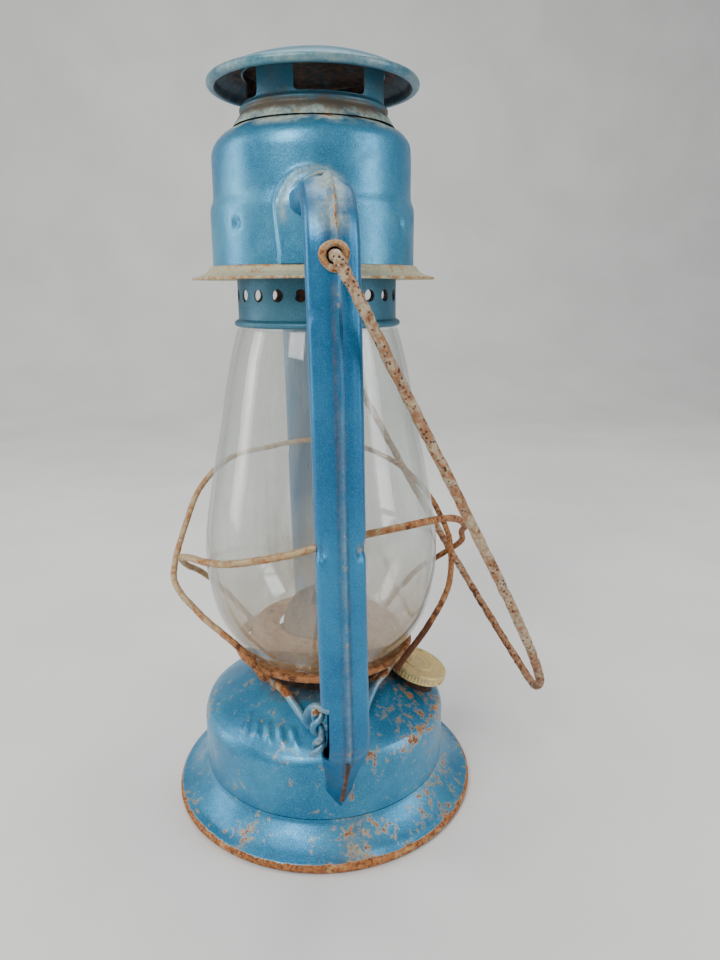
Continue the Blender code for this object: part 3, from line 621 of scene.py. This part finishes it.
def tube(name, side):
    """side -1: front, 1: back."""
    line = tube_line()
    d = np.gradient(line, axis=0)
    d /= np.linalg.norm(d, axis=1)[:, None]
    nrm = np.stack([d[:, 1], -d[:, 0]], 1)               # outwards on the vertical run: -Y
    mid = nrm[len(nrm) // 2]
    if mid[0] > 0:
        nrm = -nrm
    seg = 72
    a = 2 * math.pi * (np.arange(seg) + 0.5) / seg
    cu, sv = np.cos(a), np.sin(a)
    u0 = 7.0 * np.sign(cu) * np.abs(cu) ** (2 / 2.8)
    v0 = 4.25 * np.sign(sv) * np.abs(sv) ** (2 / 2.8)
    V = []
    s = np.r_[0, np.cumsum(np.linalg.norm(np.diff(line, axis=0), axis=1))]
    for i, (y, z) in enumerate(line):
        u, v = u0.copy(), v0.copy()
        outer = v > 0
        flare = 1 + 0.16 * smooth01((4.5 - s[i]) / 4.0)
        u, v = u * flare, v * flare
        # standing seam along the outer face, higher over the elbow
        high = smooth01((44.0 - s[i]) / 5.0)
        w = 0.50 + 0.30 * high
        ridge = (0.34 + 1.0 * high) * np.exp(-np.abs((u - 0.5) / w) ** 3)
        groove = 0.34 * (gauss(u - 1.5, 0.45) + gauss(u + 0.5, 0.45)) * (1 - 0.4 * high)
        v = np.where(outer, v * (1 - 0.17 * (u / 7) ** 2) + (ridge - groove - 0.26) * smooth01((6.2 - np.abs(u)) / 1.5), v)
        # dents where the guard wires press in
        if 110 < z < 124:
            g = gauss(z - 117.2, 1.9)
            side_m = smooth01((np.abs(u) - 3.4) / 2.2)
            v = v - np.where(outer, 1.9 * g * side_m, 0)
            u = u * (1 - 0.07 * g * side_m)
        # a small nick on the left edge
        nick = gauss(z - 179.0, 1.3) * smooth01((-u - 4.5) / 2)
        v = v - np.where(outer, 1.0 * nick, 0)
        # shallow crease at the knee
        if z < 62:
            g = gauss(z - 55.8, 1.1)
            v = v - np.where(outer, 0.5 * g * smooth01((5.8 - np.abs(u)) / 3), 0)
            # the foot narrows to a keel
            k = smooth01((55.5 - z) / 16)
            u = 0.5 + (u - 0.5) * (1 - 0.34 * smooth01((52.0 - z) / 24))
            v = v * np.where(outer, 1 - 0.80 * k * np.clip(np.abs(u - 0.5) / 6.5, 0, 1) ** 1.2, 1)
            v = v + np.where(outer, 0.7 * k * np.clip(1 - np.abs(u - 0.5) / 3.5, 0, 1), 0)
        py, pz = y + nrm[i, 0] * v, z + nrm[i, 1] * v
        x = u + lean(pz)
        if 60 < z < 192:
            x = x + 0.10 * math.sin(z * 0.05)
        V.append(np.stack([x, -side * py, pz], 1))
    n = len(line)
    outer_v = np.array(V).reshape(-1, 3)
    cen = np.repeat(np.stack([lean(line[:, 1]), -side * line[:, 0], line[:, 1]], 1), seg, axis=0)
    inner_v = cen + (outer_v - cen) * np.array([0.915, 0.86, 0.86])
    inner_v[:, 0] = cen[:, 0] + (outer_v[:, 0] - cen[:, 0]) * 0.915
    F = []
    for i in range(n - 1):
        for k in range(seg):
            l = (k + 1) % seg
            F.append((i * seg + k, i * seg + l, (i + 1) * seg + l, (i + 1) * seg + k))
            o = n * seg
            F.append((o + i * seg + k, o + (i + 1) * seg + k, o + (i + 1) * seg + l, o + i * seg + l))
    o = n * seg
    for k in range(seg):
        l = (k + 1) % seg
        F.append((k, o + k, o + l, l))
        e = (n - 1) * seg
        F.append((e + k, e + l, o + e + l, o + e + k))
    return make(name, np.vstack([outer_v, inner_v]), F, sharp=50)


def tube_wear(c):
    lx = c[:, 0] - lean(c[:, 2]) - 0.5
    w = 0.48 * gauss(lx, 0.8) * (np.abs(c[:, 1]) > 69)
    w += 0.42 * gauss(c[:, 2] - 117, 1.6) * (np.abs(lx) > 3.6)
    w += 0.62 * gauss(lx, 2.2) * smooth01((c[:, 2] - 198) / 8)
    w += 0.35 * smooth01((38 - np.abs(c[:, 1])) / 4) * (c[:, 2] > 190)
    w += 0.34 * gauss(np.hypot(c[:, 0] + 2.3, c[:, 2] - 193.6), 5.5) * (np.abs(c[:, 1]) > 68)
    w += 0.20 * gauss(c[:, 2] - 55, 1.6)
    return w


# painted shadow: two dark lines in the grooves either side of the seam ridge on the outer face
def tube_seam_shadow(c):
    lx = c[:, 0] - lean(c[:, 2]) - 0.5
    on = (np.abs(c[:, 1]) > 60) & (c[:, 2] < 188)
    return 0.80 * gauss(lx + 0.95, 0.36) * on + 0.50 * gauss(lx - 0.95, 0.32) * on


# paler paint over the elbow, and a painted highlight: a thin light line along the seam ridge
def tube_pale_and_ridge_highlight(c):
    lx = c[:, 0] - lean(c[:, 2]) - 0.5
    return 0.8 * gauss(lx, 4) * smooth01((c[:, 2] - 196) / 8) + 0.30 * gauss(lx, 0.5) * (np.abs(c[:, 1]) > 69)


front = tube("front_tube_fine", -1)
notch = prism("notch", [(-9, -8), (-4.9, -8), (-4.9, 8), (-9, 8)], 9.5,
              Matrix.Translation((-0.0004, -0.0665, 0.0606)) @ Matrix.Rotation(0, 4, "X"))
hole_f = prism("hf", circle(2.7, 28), 6, Matrix.Translation((-0.0023, -0.0735, 0.1936)) @ Matrix.Rotation(math.radians(90), 4, "X"))
cut_with(front, [notch, hole_f])
done(front, BLUE_TUBE, "lantern_body", ["front_tube"], wear=tube_wear, pale=tube_pale_and_ridge_highlight, soot_and_shade=tube_seam_shadow,
     dirt=lambda c: 0.5 * smooth01((50 - c[:, 2]) / 10))
back = tube("back_tube_fine", 1)
hole_b = prism("hb", circle(2.7, 28), 6, Matrix.Translation((-0.0023, 0.0735, 0.1936)) @ Matrix.Rotation(math.radians(90), 4, "X"))
cut_with(back, [hole_b])
done(back, BLUE_TUBE, "lantern_body", ["back_tube"], wear=tube_wear, pale=tube_pale_and_ridge_highlight, soot_and_shade=tube_seam_shadow,
     dirt=lambda c: 0.5 * smooth01((50 - c[:, 2]) / 10))

# rusty edge of the folded seam on the front foot
for side, label in ((-1, "front"), (1, "back")):
    p0 = np.array([0.5, side * (66.1 + 3.6 - 3.0), 54.9 - 5.6])
    pts = []
    for dd in np.arange(2.6, 37.0, 0.9):
        q = np.array([-66.1, 54.9]) + SLOPE * dd + np.array([-SLOPE[1] * -1, 0]) * 0
        out = np.array([-(-SLOPE[1]), -SLOPE[0]])
        out = np.array([SLOPE[1], -SLOPE[0]])
        if out[0] > 0:
            out = -out
        q = q + out * (4.35 + 0.55 * smooth01((dd - 1) / 20.0) + 0.06 * math.sin(dd * 2.4))
        pts.append((0.5, side * -q[0], q[1]))
    v, f = wire_mesh(pts, 0.62, 12, 0.30, 3.0 + side, 0.9)
    done(joined("foot_seam_" + label, [(v, f)]), CONE, "lantern_body", None,
         wear=lambda c: 0.4 + 0 * c[:, 0])

# eyelets
for side, label in ((-1, "front"), (1, "back")):
    loop = fine(rounded([(2.05, 1.3), (2.7, 1.45), (3.5, 1.1), (3.95, 0.0), (2.5, 0.0), (2.5, -1.3), (2.05, -1.3)],
                        0.35, 4, True), 0.4, True)
    m = (Matrix.Translation((-0.0023, side * 0.07105, 0.1936)) @ Matrix.Rotation(math.radians(-90 * side), 4, "X"))
    done(turn("eyelet_" + label, loop, 72, m,
              move=lambda t, r, z: (0.18 * np.sin(3 * t + 1) * smooth01((r - 2.6) / 1.5), 0.10 * np.sin(2 * t) * (r > 3))),
         FLANGE, "lantern_body", ["bail_eyelet_" + label], wear=lambda c: 0.66 + 0 * c[:, 0],
         dirt=lambda c: 0.55 * smooth01((3.4 - np.hypot(c[:, 0] + 2.3, c[:, 2] - 193.6)) / 1.0))

# ------------------------------------------------------------------ burner
WD = math.radians(20.0)
W_TURN = Matrix.Rotation(-WD, 4, "Z")
drum_line = rounded([(15.9, 56.0), (22.9, 56.0), (23.6, 55.2), (23.6, 52.8), (23.1, 52.3), (23.1, 51.2),
                     (23.6, 50.7), (23.6, 48.6)], 0.4, 4)
done(turn("burner_drum_fine", sheet(fine(drum_line, 0.8), 0.55), 144), DARK, "lantern_body",
     ["burner_drum"], wear=lambda c: 0.3 + 0 * c[:, 0], dirt=lambda c: 0.4 + 0 * c[:, 0])
cone_line = [(15.0, 64.0)]
for i in range(1, 25):
    a = math.radians(90 * i / 24)
    cone_line.append((15.0 * math.cos(a) ** 0.75 if i < 24 else 0.3, 64.0 + 13.3 * math.sin(a) ** 1.15))
cone = turn("burner_cone_fine", sheet(fine(list(reversed(cone_line)), 0.7), 0.5), 128)
slot_o = [(x, y) for x, y in rounded([(-2.5, -9.8), (2.5, -9.8), (2.5, 9.8), (-2.5, 9.8)], 2.0, 5, True)]
sl = prism("slot", slot_o, 8, W_TURN @ Matrix.Translation((0, 0, 0.0775)))
cut_with(cone, [sl])
done(cone, CONE, "lantern_body", ["burner_cone"],
     wear=lambda c: 0.25 * smooth01((c[:, 2] - 70) / 6), dirt=lambda c: 0.8 * smooth01((c[:, 2] - 72) / 4))
k_turn = (Matrix.Translation(Vector((math.cos(WD) * 5, -math.sin(WD) * 5, 53.4)) * MM) @ W_TURN
          @ Matrix.Rotation(math.radians(-90), 4, "X"))
knob = fine(rounded([(1.2, 40.0), (4.4, 40.0), (5.9, 39.4), (5.9, 38.2), (4.4, 37.5), (1.2, 37.4)], 0.3, 3, True),
            0.4, True)
done(turn("wick_knob_fine", knob, 180, k_turn,
          move=lambda t, r, z: (-0.3 * smooth01((r - 5.2) / 0.4) * (0.5 + 0.5 * np.cos(30 * t)), 0 * z)),
     BRASS, "wick_raiser", ["wick_knob"])

# ------------------------------------------------------------------ globe, plate, guard
plate = np.vstack([rounded([(16.4, 64.6), (18.8, 64.6), (19.3, 64.3), (21.6, 64.3), (22.1, 64.6), (25.4, 64.6),
                            (26.2, 63.8), (27.0, 58.4), (27.6, 57.8), (30.6, 57.6)], 0.35, 3),
                   np.array(bead(32.2, 57.7, 1.18, 140, -140, 20)),
                   rounded([(30.6, 57.0), (26.5, 57.0), (25.7, 63.2), (25.2, 64.0), (16.4, 64.0)], 0.3, 3)])
pl = turn("globe_plate_fine", fine(plate, 0.9), 160,
          move=lambda t, r, z: (0 * r, 0.10 * np.sin(3 * t) * (r > 28)))
cuts = []
for i in range(16):
    a = 2 * math.pi * (i + 0.3) / 16
    m = Matrix.Rotation(a, 4, "Z") @ Matrix.Translation((0.0288, 0, 0.0575))
    cuts.append(prism("slit", rounded([(-0.5, -1.7), (0.5, -1.7), (0.5, 1.7), (-0.5, 1.7)], 0.4, 3, True), 1.6, m))
cut_with(pl, cuts)
done(pl, PLATE, "globe_carriage", ["globe_plate"],
     wear=lambda c: 0.15 + 0.12 * (np.hypot(c[:, 0], c[:, 1]) > 31), dirt=lambda c: 0.2 + 0 * c[:, 0])

GLOBE = crom([(27.2, 173.0), (29.6, 164.7), (32.3, 152.2), (34.6, 139.5), (37.3, 126.4),
              (39.8, 113.3), (41.7, 101.5), (42.0, 93.5), (41.5, 85.3),
              (38.9, 73.0), (34.0, 63.6), (29.8, 58.8)], 7)
gl = turn("globe_fine", sheet(GLOBE, 1.4), 144,
          move=lambda t, r, z: (0.12 * np.sin(2 * t + 0.6) * gauss(z - 110, 45) - 0.12, 0 * z), sharp=70)
done(gl, GLASS, "globe_carriage", ["globe"])

GUARD_FRONT = [(-26.8, 22.2, 56.0), (-35.5, 22.2, 67.5), (-44.5, 15.8, 79.9), (-49.2, 5.0, 87.6),
               (-50.1, -5.0, 93.9), (-46.3, -27.0, 102.6), (-33.9, -46.5, 106.9), (-15.7, -58.1, 112.8),
               (0.0, -60.9, 117.6), (17.0, -57.6, 119.3), (35.4, -45.2, 117.3), (46.4, -25.5, 108.2),
               (51.6, -5.0, 98.6), (54.3, 5.0, 91.0), (48.6, 14.0, 82.3), (40.0, 19.8, 73.6),
               (30.4, 22.8, 60.5), (26.8, 22.2, 56.0)]
GUARD_BACK = [(-22.6, -26.6, 55.8), (-30.6, -25.8, 68.0), (-43.8, -16.6, 77.4), (-52.3, -7.0, 84.6),
              (-53.3, 2.0, 89.9), (-50.6, 17.1, 98.2), (-44.7, 31.9, 110.1), (-33.0, 47.3, 118.0),
              (-16.4, 57.9, 119.8), (1.0, 60.9, 121.6), (18.0, 57.2, 120.6), (35.2, 45.2, 114.6),
              (45.6, 30.0, 105.8), (50.2, 15.8, 95.9), (50.4, 5.2, 89.2), (46.0, -9.2, 79.2),
              (36.0, -19.6, 68.9), (25.4, -26.2, 59.6), (22.8, -26.6, 55.8)]
for nm, pts in (("front", GUARD_FRONT), ("back", GUARD_BACK)):
    v, f = wire_mesh(crom(pts, 16), 1.12, 14, 0.16, 7.0 + len(nm), 0.55)
    done(joined("guard_%s_fine" % nm, [(v, f)]), WIRE, "globe_carriage", ["guard_wire_" + nm],
         wear=lambda c: 0.50 * smooth01((80 - c[:, 2]) / 14) + 0.40 * smooth01((c[:, 0] - 5) / 20))

# ------------------------------------------------------------------ canopy
CX = -0.9
can_line = np.vstack([rounded([(23.6, 235.0), (28.4, 232.8), (31.1, 229.8), (31.9, 226.6), (31.9, 222.0)], 1.6, 6),
                      fine([(31.9, 221.2), (31.9, 215.2)], 0.8), crom([(31.9, 214.6), (32.1, 213.0), (32.9, 210.6),
                                                                      (33.1, 209.0)], 5),
                      fine([(33.1, 208.2), (33.1, 192.98)], 0.8)])


def canopy_move(t, r, z):
    x, y = r * np.sin(t), -r * np.cos(t)
    dr = 0 * r
    for sgn in (-1, 1):
        near = (y * sgn > 0)
        bx, bz = x + 2.56 + 0.9, z - 208.6
        up = np.hypot(bx, np.maximum(bz, 0) * 0.94)
        rad = 10.9 + 0.10 * np.minimum(bz, 0) * 0.6
        dr = dr + near * 1.35 * smooth01((rad - up) / 1.6)
        ring = gauss(up - 8.9, 0.8)
        dr = dr - near * 0.35 * ring * (bz > -14)
    az = np.degrees((t + math.pi) % (2 * math.pi) - math.pi)
    for a0, z0 in ((-49.0, 204.9), (50.5, 205.2), (131.0, 205.0), (-131.0, 205.0)):
        dr = dr - 0.95 * gauss((az - a0) * 0.577, 1.5) * gauss(z - z0, 1.5)
    dr = dr + 0.10 * np.sin(4 * t + 1) * smooth01((z - 200) / 20)
    dr = dr + 0.9 * np.sin(t) * smooth01((z - 226) / 7)
    return dr, 0 * z


can = turn("canopy_fine", sheet(can_line, 0.6), 360, move=canopy_move, cx=CX)
cuts = []
for sgn in (-1, 1):
    sec = [(6.9 * math.copysign(abs(math.cos(a)) ** (2 / 2.8), math.cos(a)),
            4.1 * math.copysign(abs(math.sin(a)) ** (2 / 2.8), math.sin(a)))
           for a in [2 * math.pi * (i + 0.5) / 40 for i in range(40)]]
    cuts.append(prism("mouth", sec, 9, Matrix.Translation((-0.00256, sgn * 0.033, 0.2101))
                      @ Matrix.Rotation(math.radians(90), 4, "X")))
cut_with(can, cuts)


def canopy_wear(c):
    bx, bz = c[:, 0] + 2.56, c[:, 2] - 208.6
    up = np.hypot(bx, np.maximum(bz, 0) * 0.94)
    w = 0.55 * gauss(up - 9.0, 0.8) * (np.abs(c[:, 1]) > 22) * smooth01((bz + 4) / 6)
    w += 0.52 * gauss(np.hypot(bx - 8.8, bz - 4.5), 4.5) * (c[:, 1] < 0)
    w += 0.62 * smooth01((c[:, 2] - 231.4) / 2.5) * smooth01((c[:, 0] + 14) / 16)
    w += 0.15 * gauss(c[:, 2] - 194, 2.5)
    return w


done(can, BLUE_TOP, "lantern_body", ["canopy_shell"], wear=canopy_wear,
     dirt=lambda c: 0.5 * smooth01((c[:, 2] - 231) / 3),
     pale=lambda c: 0.9 * smooth01((c[:, 2] - 230.5) / 2.5)
     + 0.5 * gauss(np.hypot(c[:, 0] + 2.56, np.maximum(c[:, 2] - 208.6, 0)) - 10.2, 1.2) * (np.abs(c[:, 1]) > 22)
     * (c[:, 2] > 203),
     soot_and_shade=lambda c: 0.9 * (np.abs(c[:, 2] - 205) > 4.5) * (
         np.hypot(c[:, 0] - CX - 0.9 * smooth01((c[:, 2] - 226) / 7), c[:, 1]) < np.interp(c[:, 2], [193, 209, 214.7, 226.6, 229.8, 232.8, 235],
                                                                      [32.7, 32.7, 31.5, 31.5, 30.6, 27.6, 22.4])))
for side, label in ((-1, "front"), (1, "back")):
    lip = crom([(-10.4, 0, 200.5), (-10.2, 0, 205.0), (-9.4, 0, 210.2), (-7.2, 0, 214.2), (-4.1, 0, 216.6),
                (-0.6, 0, 217.6), (2.6, 0, 216.0), (4.6, 0, 212.4), (5.4, 0, 207.0), (5.6, 0, 201.5)], 8)
    lip[:, 0] += -0.1
    rr_ = 33.35 if side < 0 else 33.35
    lip[:, 1] = side * np.sqrt(np.maximum(rr_ ** 2 - (lip[:, 0] - CX) ** 2, 0))
    v, f = wire_mesh(lip, 0.62, 12, 0.10, 9.0 + side, 0.6)
    done(joined("tube_lip_" + label, [(v, f)]), BLUE_TOP, "lantern_body", None,
         wear=lambda c: 0.50 * smooth01((c[:, 2] - 206) / 5), pale=lambda c: 0.7 + 0 * c[:, 0])
fl_loop = np.vstack([crom([(32.6, 192.9), (33.9, 192.85), (34.7, 191.85), (35.6, 190.9), (37.6, 190.1), (39.7, 189.55)], 4),
                     np.array(bead(39.72, 189.13, 0.45, 80, -100, 8)),
                     crom([(39.3, 188.75), (37.2, 189.3), (35.0, 190.0), (33.6, 191.0), (32.6, 192.2)], 4)])
done(turn("flange_fine", fl_loop, 240, cx=CX,
          move=lambda t, r, z: (0 * r, 0.16 * np.sin(3 * t + 2) * smooth01((r - 35) / 4) * 0.6)),
     FLANGE, "lantern_body", ["canopy_flange"],
     wear=lambda c: 0.16 + 0.30 * smooth01((np.hypot(c[:, 0] - CX, c[:, 1]) - 39.2) / 0.7)
     + 0.45 * smooth01((34.6 - np.hypot(c[:, 0] - CX, c[:, 1])) / 1.0))

# ------------------------------------------------------------------ hood
col_line = np.vstack([fine([(26.5, 194.5), (26.5, 176.3)], 0.9), np.array(bead(26.9, 174.85, 1.05, 75, -90, 12))])
col_loop = np.vstack([col_line, fine([(25.95, 173.75), (25.95, 194.5)], 1.2)])
col = turn("collar_fine", col_loop, 220)
cuts = []
for i in range(22):
    a = 2 * math.pi * i / 22
    out = Vector((math.sin(a), -math.cos(a), 0))
    m = (Matrix.Translation(out * 0.0265 + Vector((0, 0, 0.1838))) @ out.to_track_quat("Z", "Y").to_matrix().to_4x4())
    cuts.append(prism("h", circle(1.95, 22), 3, m))
cut_with(col, cuts)
done(col, TEAL, "hood", ["globe_collar"],
     wear=lambda c: 0.25 * smooth01((175.5 - c[:, 2]) / 1.5),
     dirt=lambda c: 0.35 * gauss(c[:, 2] - 183.8, 3) + 0.6 * smooth01((c[:, 2] - 189) / 4),
     soot_and_shade=lambda c: 0.95 * (np.hypot(c[:, 0], c[:, 1]) < 26.25) + 0.45 * smooth01((c[:, 2] - 187) / 4))
neck_line = np.vstack([fine([(22.5, 251.6), (22.5, 241.6)], 0.8),
                       crom([(22.5, 241.1), (22.9, 240.6), (23.5, 240.1), (23.55, 239.5), (23.3, 238.9), (23.6, 238.0),
                             (24.3, 236.9), (25.1, 235.8), (26.0, 234.5)], 4)])
neck_in = np.vstack([crom([(25.72, 234.52), (24.75, 235.75), (23.7, 236.9), (22.8, 238.2), (22.6, 239.2), (22.3, 240.2),
                           (21.9, 241.1)], 4),
                     fine([(21.9, 241.8), (21.9, 251.6)], 0.9)])
nk = turn("neck_fine", np.vstack([neck_line, neck_in]), 240,
          move=lambda t, r, z: (0.0 * r, 0 * z))
cuts = []
for i in range(4):
    a = math.radians(8.0 + 90.0 * i)
    out = Vector((math.sin(a), -math.cos(a), 0))
    m = (Matrix.Translation(out * 0.021 + Vector((0, 0, 0.2456))) @ out.to_track_quat("Z", "Y").to_matrix().to_4x4())
    # the track quaternion's X is level, Y is up or down
    cuts.append(prism("w", rounded([(-10.7, -4.3), (10.7, -4.3), (10.7, 4.3), (-10.7, 4.3)], 1.6, 5, True), 7, m))
cut_with(nk, cuts)
done(nk, TEAL, "hood", ["hood_neck"],
     wear=lambda c: 0.34 * smooth01((237.0 - c[:, 2]) / 1.5) * (c[:, 0] > -8),
     dirt=lambda c: 0.7 * gauss(c[:, 2] - 238.0, 1.8) + 0.3,
     pale=lambda c: 0.80 * smooth01((238.6 - c[:, 2]) / 2.2),
     soot_and_shade=lambda c: 0.95 * (np.hypot(c[:, 0], c[:, 1]) < 22.2) * (c[:, 2] > 240) + 0.9 * (c[:, 2] < 240) * (
         np.hypot(c[:, 0], c[:, 1]) < np.interp(c[:, 2], [234.5, 235.8, 238.2, 240.2], [25.8, 24.85, 23.0, 22.5])))
cap_line = np.vstack([crom([(0.0, 256.15), (4, 256.05), (9, 255.65), (14, 254.95), (18, 254.1), (25, 251.95),
                            (29.2, 250.2), (31.2, 249.0)], 6),
                      np.array(bead(32.0, 247.5, 1.45, 70, -165, 20)),
                      crom([(30.3, 248.6), (29.4, 249.2), (25, 251.3), (18, 253.5), (9, 255.05), (4, 255.45),
                            (0.0, 255.55)], 6)])
cap_line[0, 0] = 0
cap_line[-1, 0] = 0
done(turn("cap_top_fine", cap_line, 200,
          move=lambda t, r, z: (-0.12 * smooth01((r - 28) / 4) * (0.5 + 0.5 * np.sin(3 * t + 1)),
                                0.18 * np.sin(2 * t + 1) * smooth01((r - 4) / 10) * smooth01((32 - r) / 3) - 0.18)),
     BLUE_CAP, "hood", ["hood_cap"],
     wear=lambda c: 0.18 * smooth01((np.hypot(c[:, 0], c[:, 1]) - 32.8) / 0.6)
     + 0.22 * gauss(np.hypot(c[:, 0] - 22, c[:, 1] - 4), 6),
     # a painted highlight on the top of the cap, a little towards the front left, and a paler rolled rim
     pale=lambda c: 1.0 * gauss(np.hypot(c[:, 0] + 4, c[:, 1] + 2), 20) * (c[:, 2] > 252.0)
     + 0.35 * smooth01((np.hypot(c[:, 0], c[:, 1]) - 32.0) / 1.0),
     soot_and_shade=lambda c: 0.92 * (np.hypot(c[:, 0], c[:, 1]) < 31.2)
     * (c[:, 2] < np.interp(np.hypot(c[:, 0], c[:, 1]), [0, 9, 18, 25, 29.4, 31.2], [255.65, 255.2, 253.65, 251.5, 249.5, 248.6]))
     * (1 - 0.35 * smooth01((np.hypot(c[:, 0], c[:, 1]) - 24) / 5)))

# ------------------------------------------------------------------ globe lift lever
left_arm = [(-23.5, -16.5, 54.7), (-20.5, -20.4, 52.6), (-16.2, -24.0, 49.8), (-13.2, -28.2, 46.8),
            (-10.8, -32.0, 44.4), (-8.4, -35.4, 42.9), (-4.5, -36.4, 42.5)]
fork = crom(left_arm + [(-x, y, z) for x, y, z in reversed(left_arm)], 8)
crank = crom([(-6.6, -36.2, 42.6), (-9.2, -41.0, 46.6), (-10.4, -50.0, 55.5), (-10.0, -58.0, 63.0),
              (-8.6, -63.5, 67.4), (-5.0, -66.8, 67.8), (-1.0, -67.1, 67.8), (3.4, -67.1, 67.8)], 8)
thumb = crom([(-8.3, -63.9, 67.6), (-8.0, -64.6, 65.4), (-8.9, -64.8, 62.6), (-8.0, -65.0, 60.2),
              (-7.3, -65.0, 58.2), (-7.8, -64.8, 56.0), (-8.9, -64.4, 53.6), (-9.4, -64.2, 52.2)], 10)
core, tn, nn, bb = frames_of(thumb)
along = np.r_[0, np.cumsum(np.linalg.norm(np.diff(core, axis=0), axis=1))]
parts_ = [wire_mesh(fork, 1.36, 14, 0.12, 2.0), wire_mesh(crank, 1.22, 14, 0.08, 4.0)]
for ph in (0.0, math.pi):
    ang = along * 0.62 + ph
    strand = core + 1.0 * (nn * np.cos(ang)[:, None] + bb * np.sin(ang)[:, None])
    parts_.append(wire_mesh(strand, 1.08, 14, 0.08, 6.0 + ph))
done(joined("lift_lever_fine", parts_), BLUE, "lift_lever", ["lift_lever"],
     wear=lambda c: 0.45 * smooth01((c[:, 2] - 48) / 4) * (np.abs(c[:, 1]) < 30) + 0.10,
     # faded paint patches, which also serve as painted highlights along the wires
     pale=lambda c: 0.28 + 0 * c[:, 0])

# ------------------------------------------------------------------ bail
TILT = math.radians(28.06)
hang = np.array([math.sin(TILT), 0.0, -math.cos(TILT)])
half = [(66.6, 0.0), (72.0, 0.0), (73.9, 0.5), (74.85, 2.2), (75.0, 4.5), (74.9, 9.0), (73.9, 17.0),
        (70.9, 38.0), (68.2, 67.0), (64.4, 96.5), (58.2, 120.6), (52.0, 135.6),
        (44.6, 147.6), (35.4, 159.2), (25.0, 168.6), (13.6, 177.4), (5.4, 182.6)]
piv = np.array([-2.3, 0.0, 193.6])
run = [piv + np.array([0, -v, 0]) + hang * w for v, w in half]
run += [piv + hang * 183.9]
run += [piv + np.array([0, v, 0]) + hang * w for v, w in reversed(half)]
line = crom(run, 22)
v, f = wire_mesh(line, 1.52, 16, 0.30, 1.0, 0.42)
done(joined("bail_fine", [(v, f)]), BAILM, "bail", ["bail"],
     wear=lambda c: 0.10 + 0.25 * smooth01((90 - c[:, 2]) / 50))

# ------------------------------------------------------------------ carried-over CAD pieces
for names, mat in ((("fount_bottom", "air_duct_front", "air_duct_back"), RUSTM),
                   (("burner_body",), DARK), (("canopy_floor", "inner_chimney"), SOOT),
                   (("burner_collar", "wick_tube", "wick_shaft", "wick_wheel_near", "wick_wheel_far",
                     "lever_bush"), BRASS),
                   (("wick",), COTTON), (("cap_gasket",), CORKM)):
    for nm in names:
        ob = NODES[nm]
        ob.data.materials.clear()
        ob.data.materials.append(mat)

# ------------------------------------------------------------------ stage, light, camera
me = bpy.data.meshes.new("floor")
bm = bmesh.new()
prof = [(-1.6, 0.0), (0.75, 0.0)] + [(0.75 + 0.45 * math.sin(a), 0.45 - 0.45 * math.cos(a))
                                      for a in [math.radians(10 * i) for i in range(1, 10)]] + [(1.2, 2.4)]
rows = [[bm.verts.new((x, y, z)) for y, z in prof] for x in (-2.2, 2.2)]
for i in range(len(prof) - 1):
    bm.faces.new((rows[0][i], rows[1][i], rows[1][i + 1], rows[0][i + 1]))
bm.to_mesh(me)
bm.free()
me.shade_smooth()
floor = bpy.data.objects.new("floor", me)
COLL.objects.link(floor)
t = Tree("floor_pale")
fc = t.mix(t.band(t.noise(9, 4), 0.3, 0.7), rgb(218, 217, 214), rgb(226, 225, 222))
t.surface(Base_Color=fc, Roughness=0.75)
me.materials.append(t.mat)

world = bpy.data.worlds.new("studio")
S.world = world
world.use_nodes = True
bg = world.node_tree.nodes["Background"]
bg.inputs["Color"].default_value = (0.86, 0.90, 0.96, 1.0)
bg.inputs["Strength"].default_value = 0.34


def area(name, loc, aim, size, power, colour=(1, 1, 1)):
    li = bpy.data.lights.new(name, "AREA")
    li.shape, li.size, li.size_y = "RECTANGLE", size[0], size[1]
    li.energy, li.color = power, colour
    ob = bpy.data.objects.new(name, li)
    ob.location = loc
    ob.rotation_mode = "QUATERNION"
    ob.rotation_quaternion = (Vector(aim) - Vector(loc)).to_track_quat("-Z", "Y")
    COLL.objects.link(ob)


area("key", (-0.55, -0.75, 0.85), (0, 0, 0.12), (0.40, 0.60), 10.0, (1.0, 0.985, 0.96))
area("fill", (0.9, -0.45, 0.45), (0, 0, 0.12), (0.30, 0.8), 5.0, (0.96, 0.98, 1.0))
area("top", (0.05, 0.25, 1.15), (0, 0, 0.15), (0.8, 0.6), 7.5)
area("side", (-0.9, 0.15, 0.4), (0, 0, 0.13), (0.25, 0.8), 4.0)

cam_data = bpy.data.cameras.new("camera")
cam = bpy.data.objects.new("camera", cam_data)
COLL.objects.link(cam)
cam_data.lens = 27.3
cam_data.sensor_width = 36.0
cam_data.sensor_fit = "AUTO"
cam_data.clip_start = 0.01
cam_data.clip_end = 20.0
yaw, pitch, roll = math.radians(8.499), math.radians(14.744), math.radians(-0.229)
fwd = Vector((math.sin(yaw) * math.cos(pitch), math.cos(yaw) * math.cos(pitch), -math.sin(pitch)))
right = Vector((math.cos(yaw), -math.sin(yaw), 0.0))
up = right.cross(fwd)
r2 = right * math.cos(roll) + up * math.sin(roll)
u2 = -right * math.sin(roll) + up * math.cos(roll)
m = Matrix.Identity(4)
for i in range(3):
    m[i][0], m[i][1], m[i][2] = r2[i], u2[i], -fwd[i]
m.translation = Vector((-0.02346, -0.25288, 0.18592))
cam.matrix_world = m
S.camera = cam
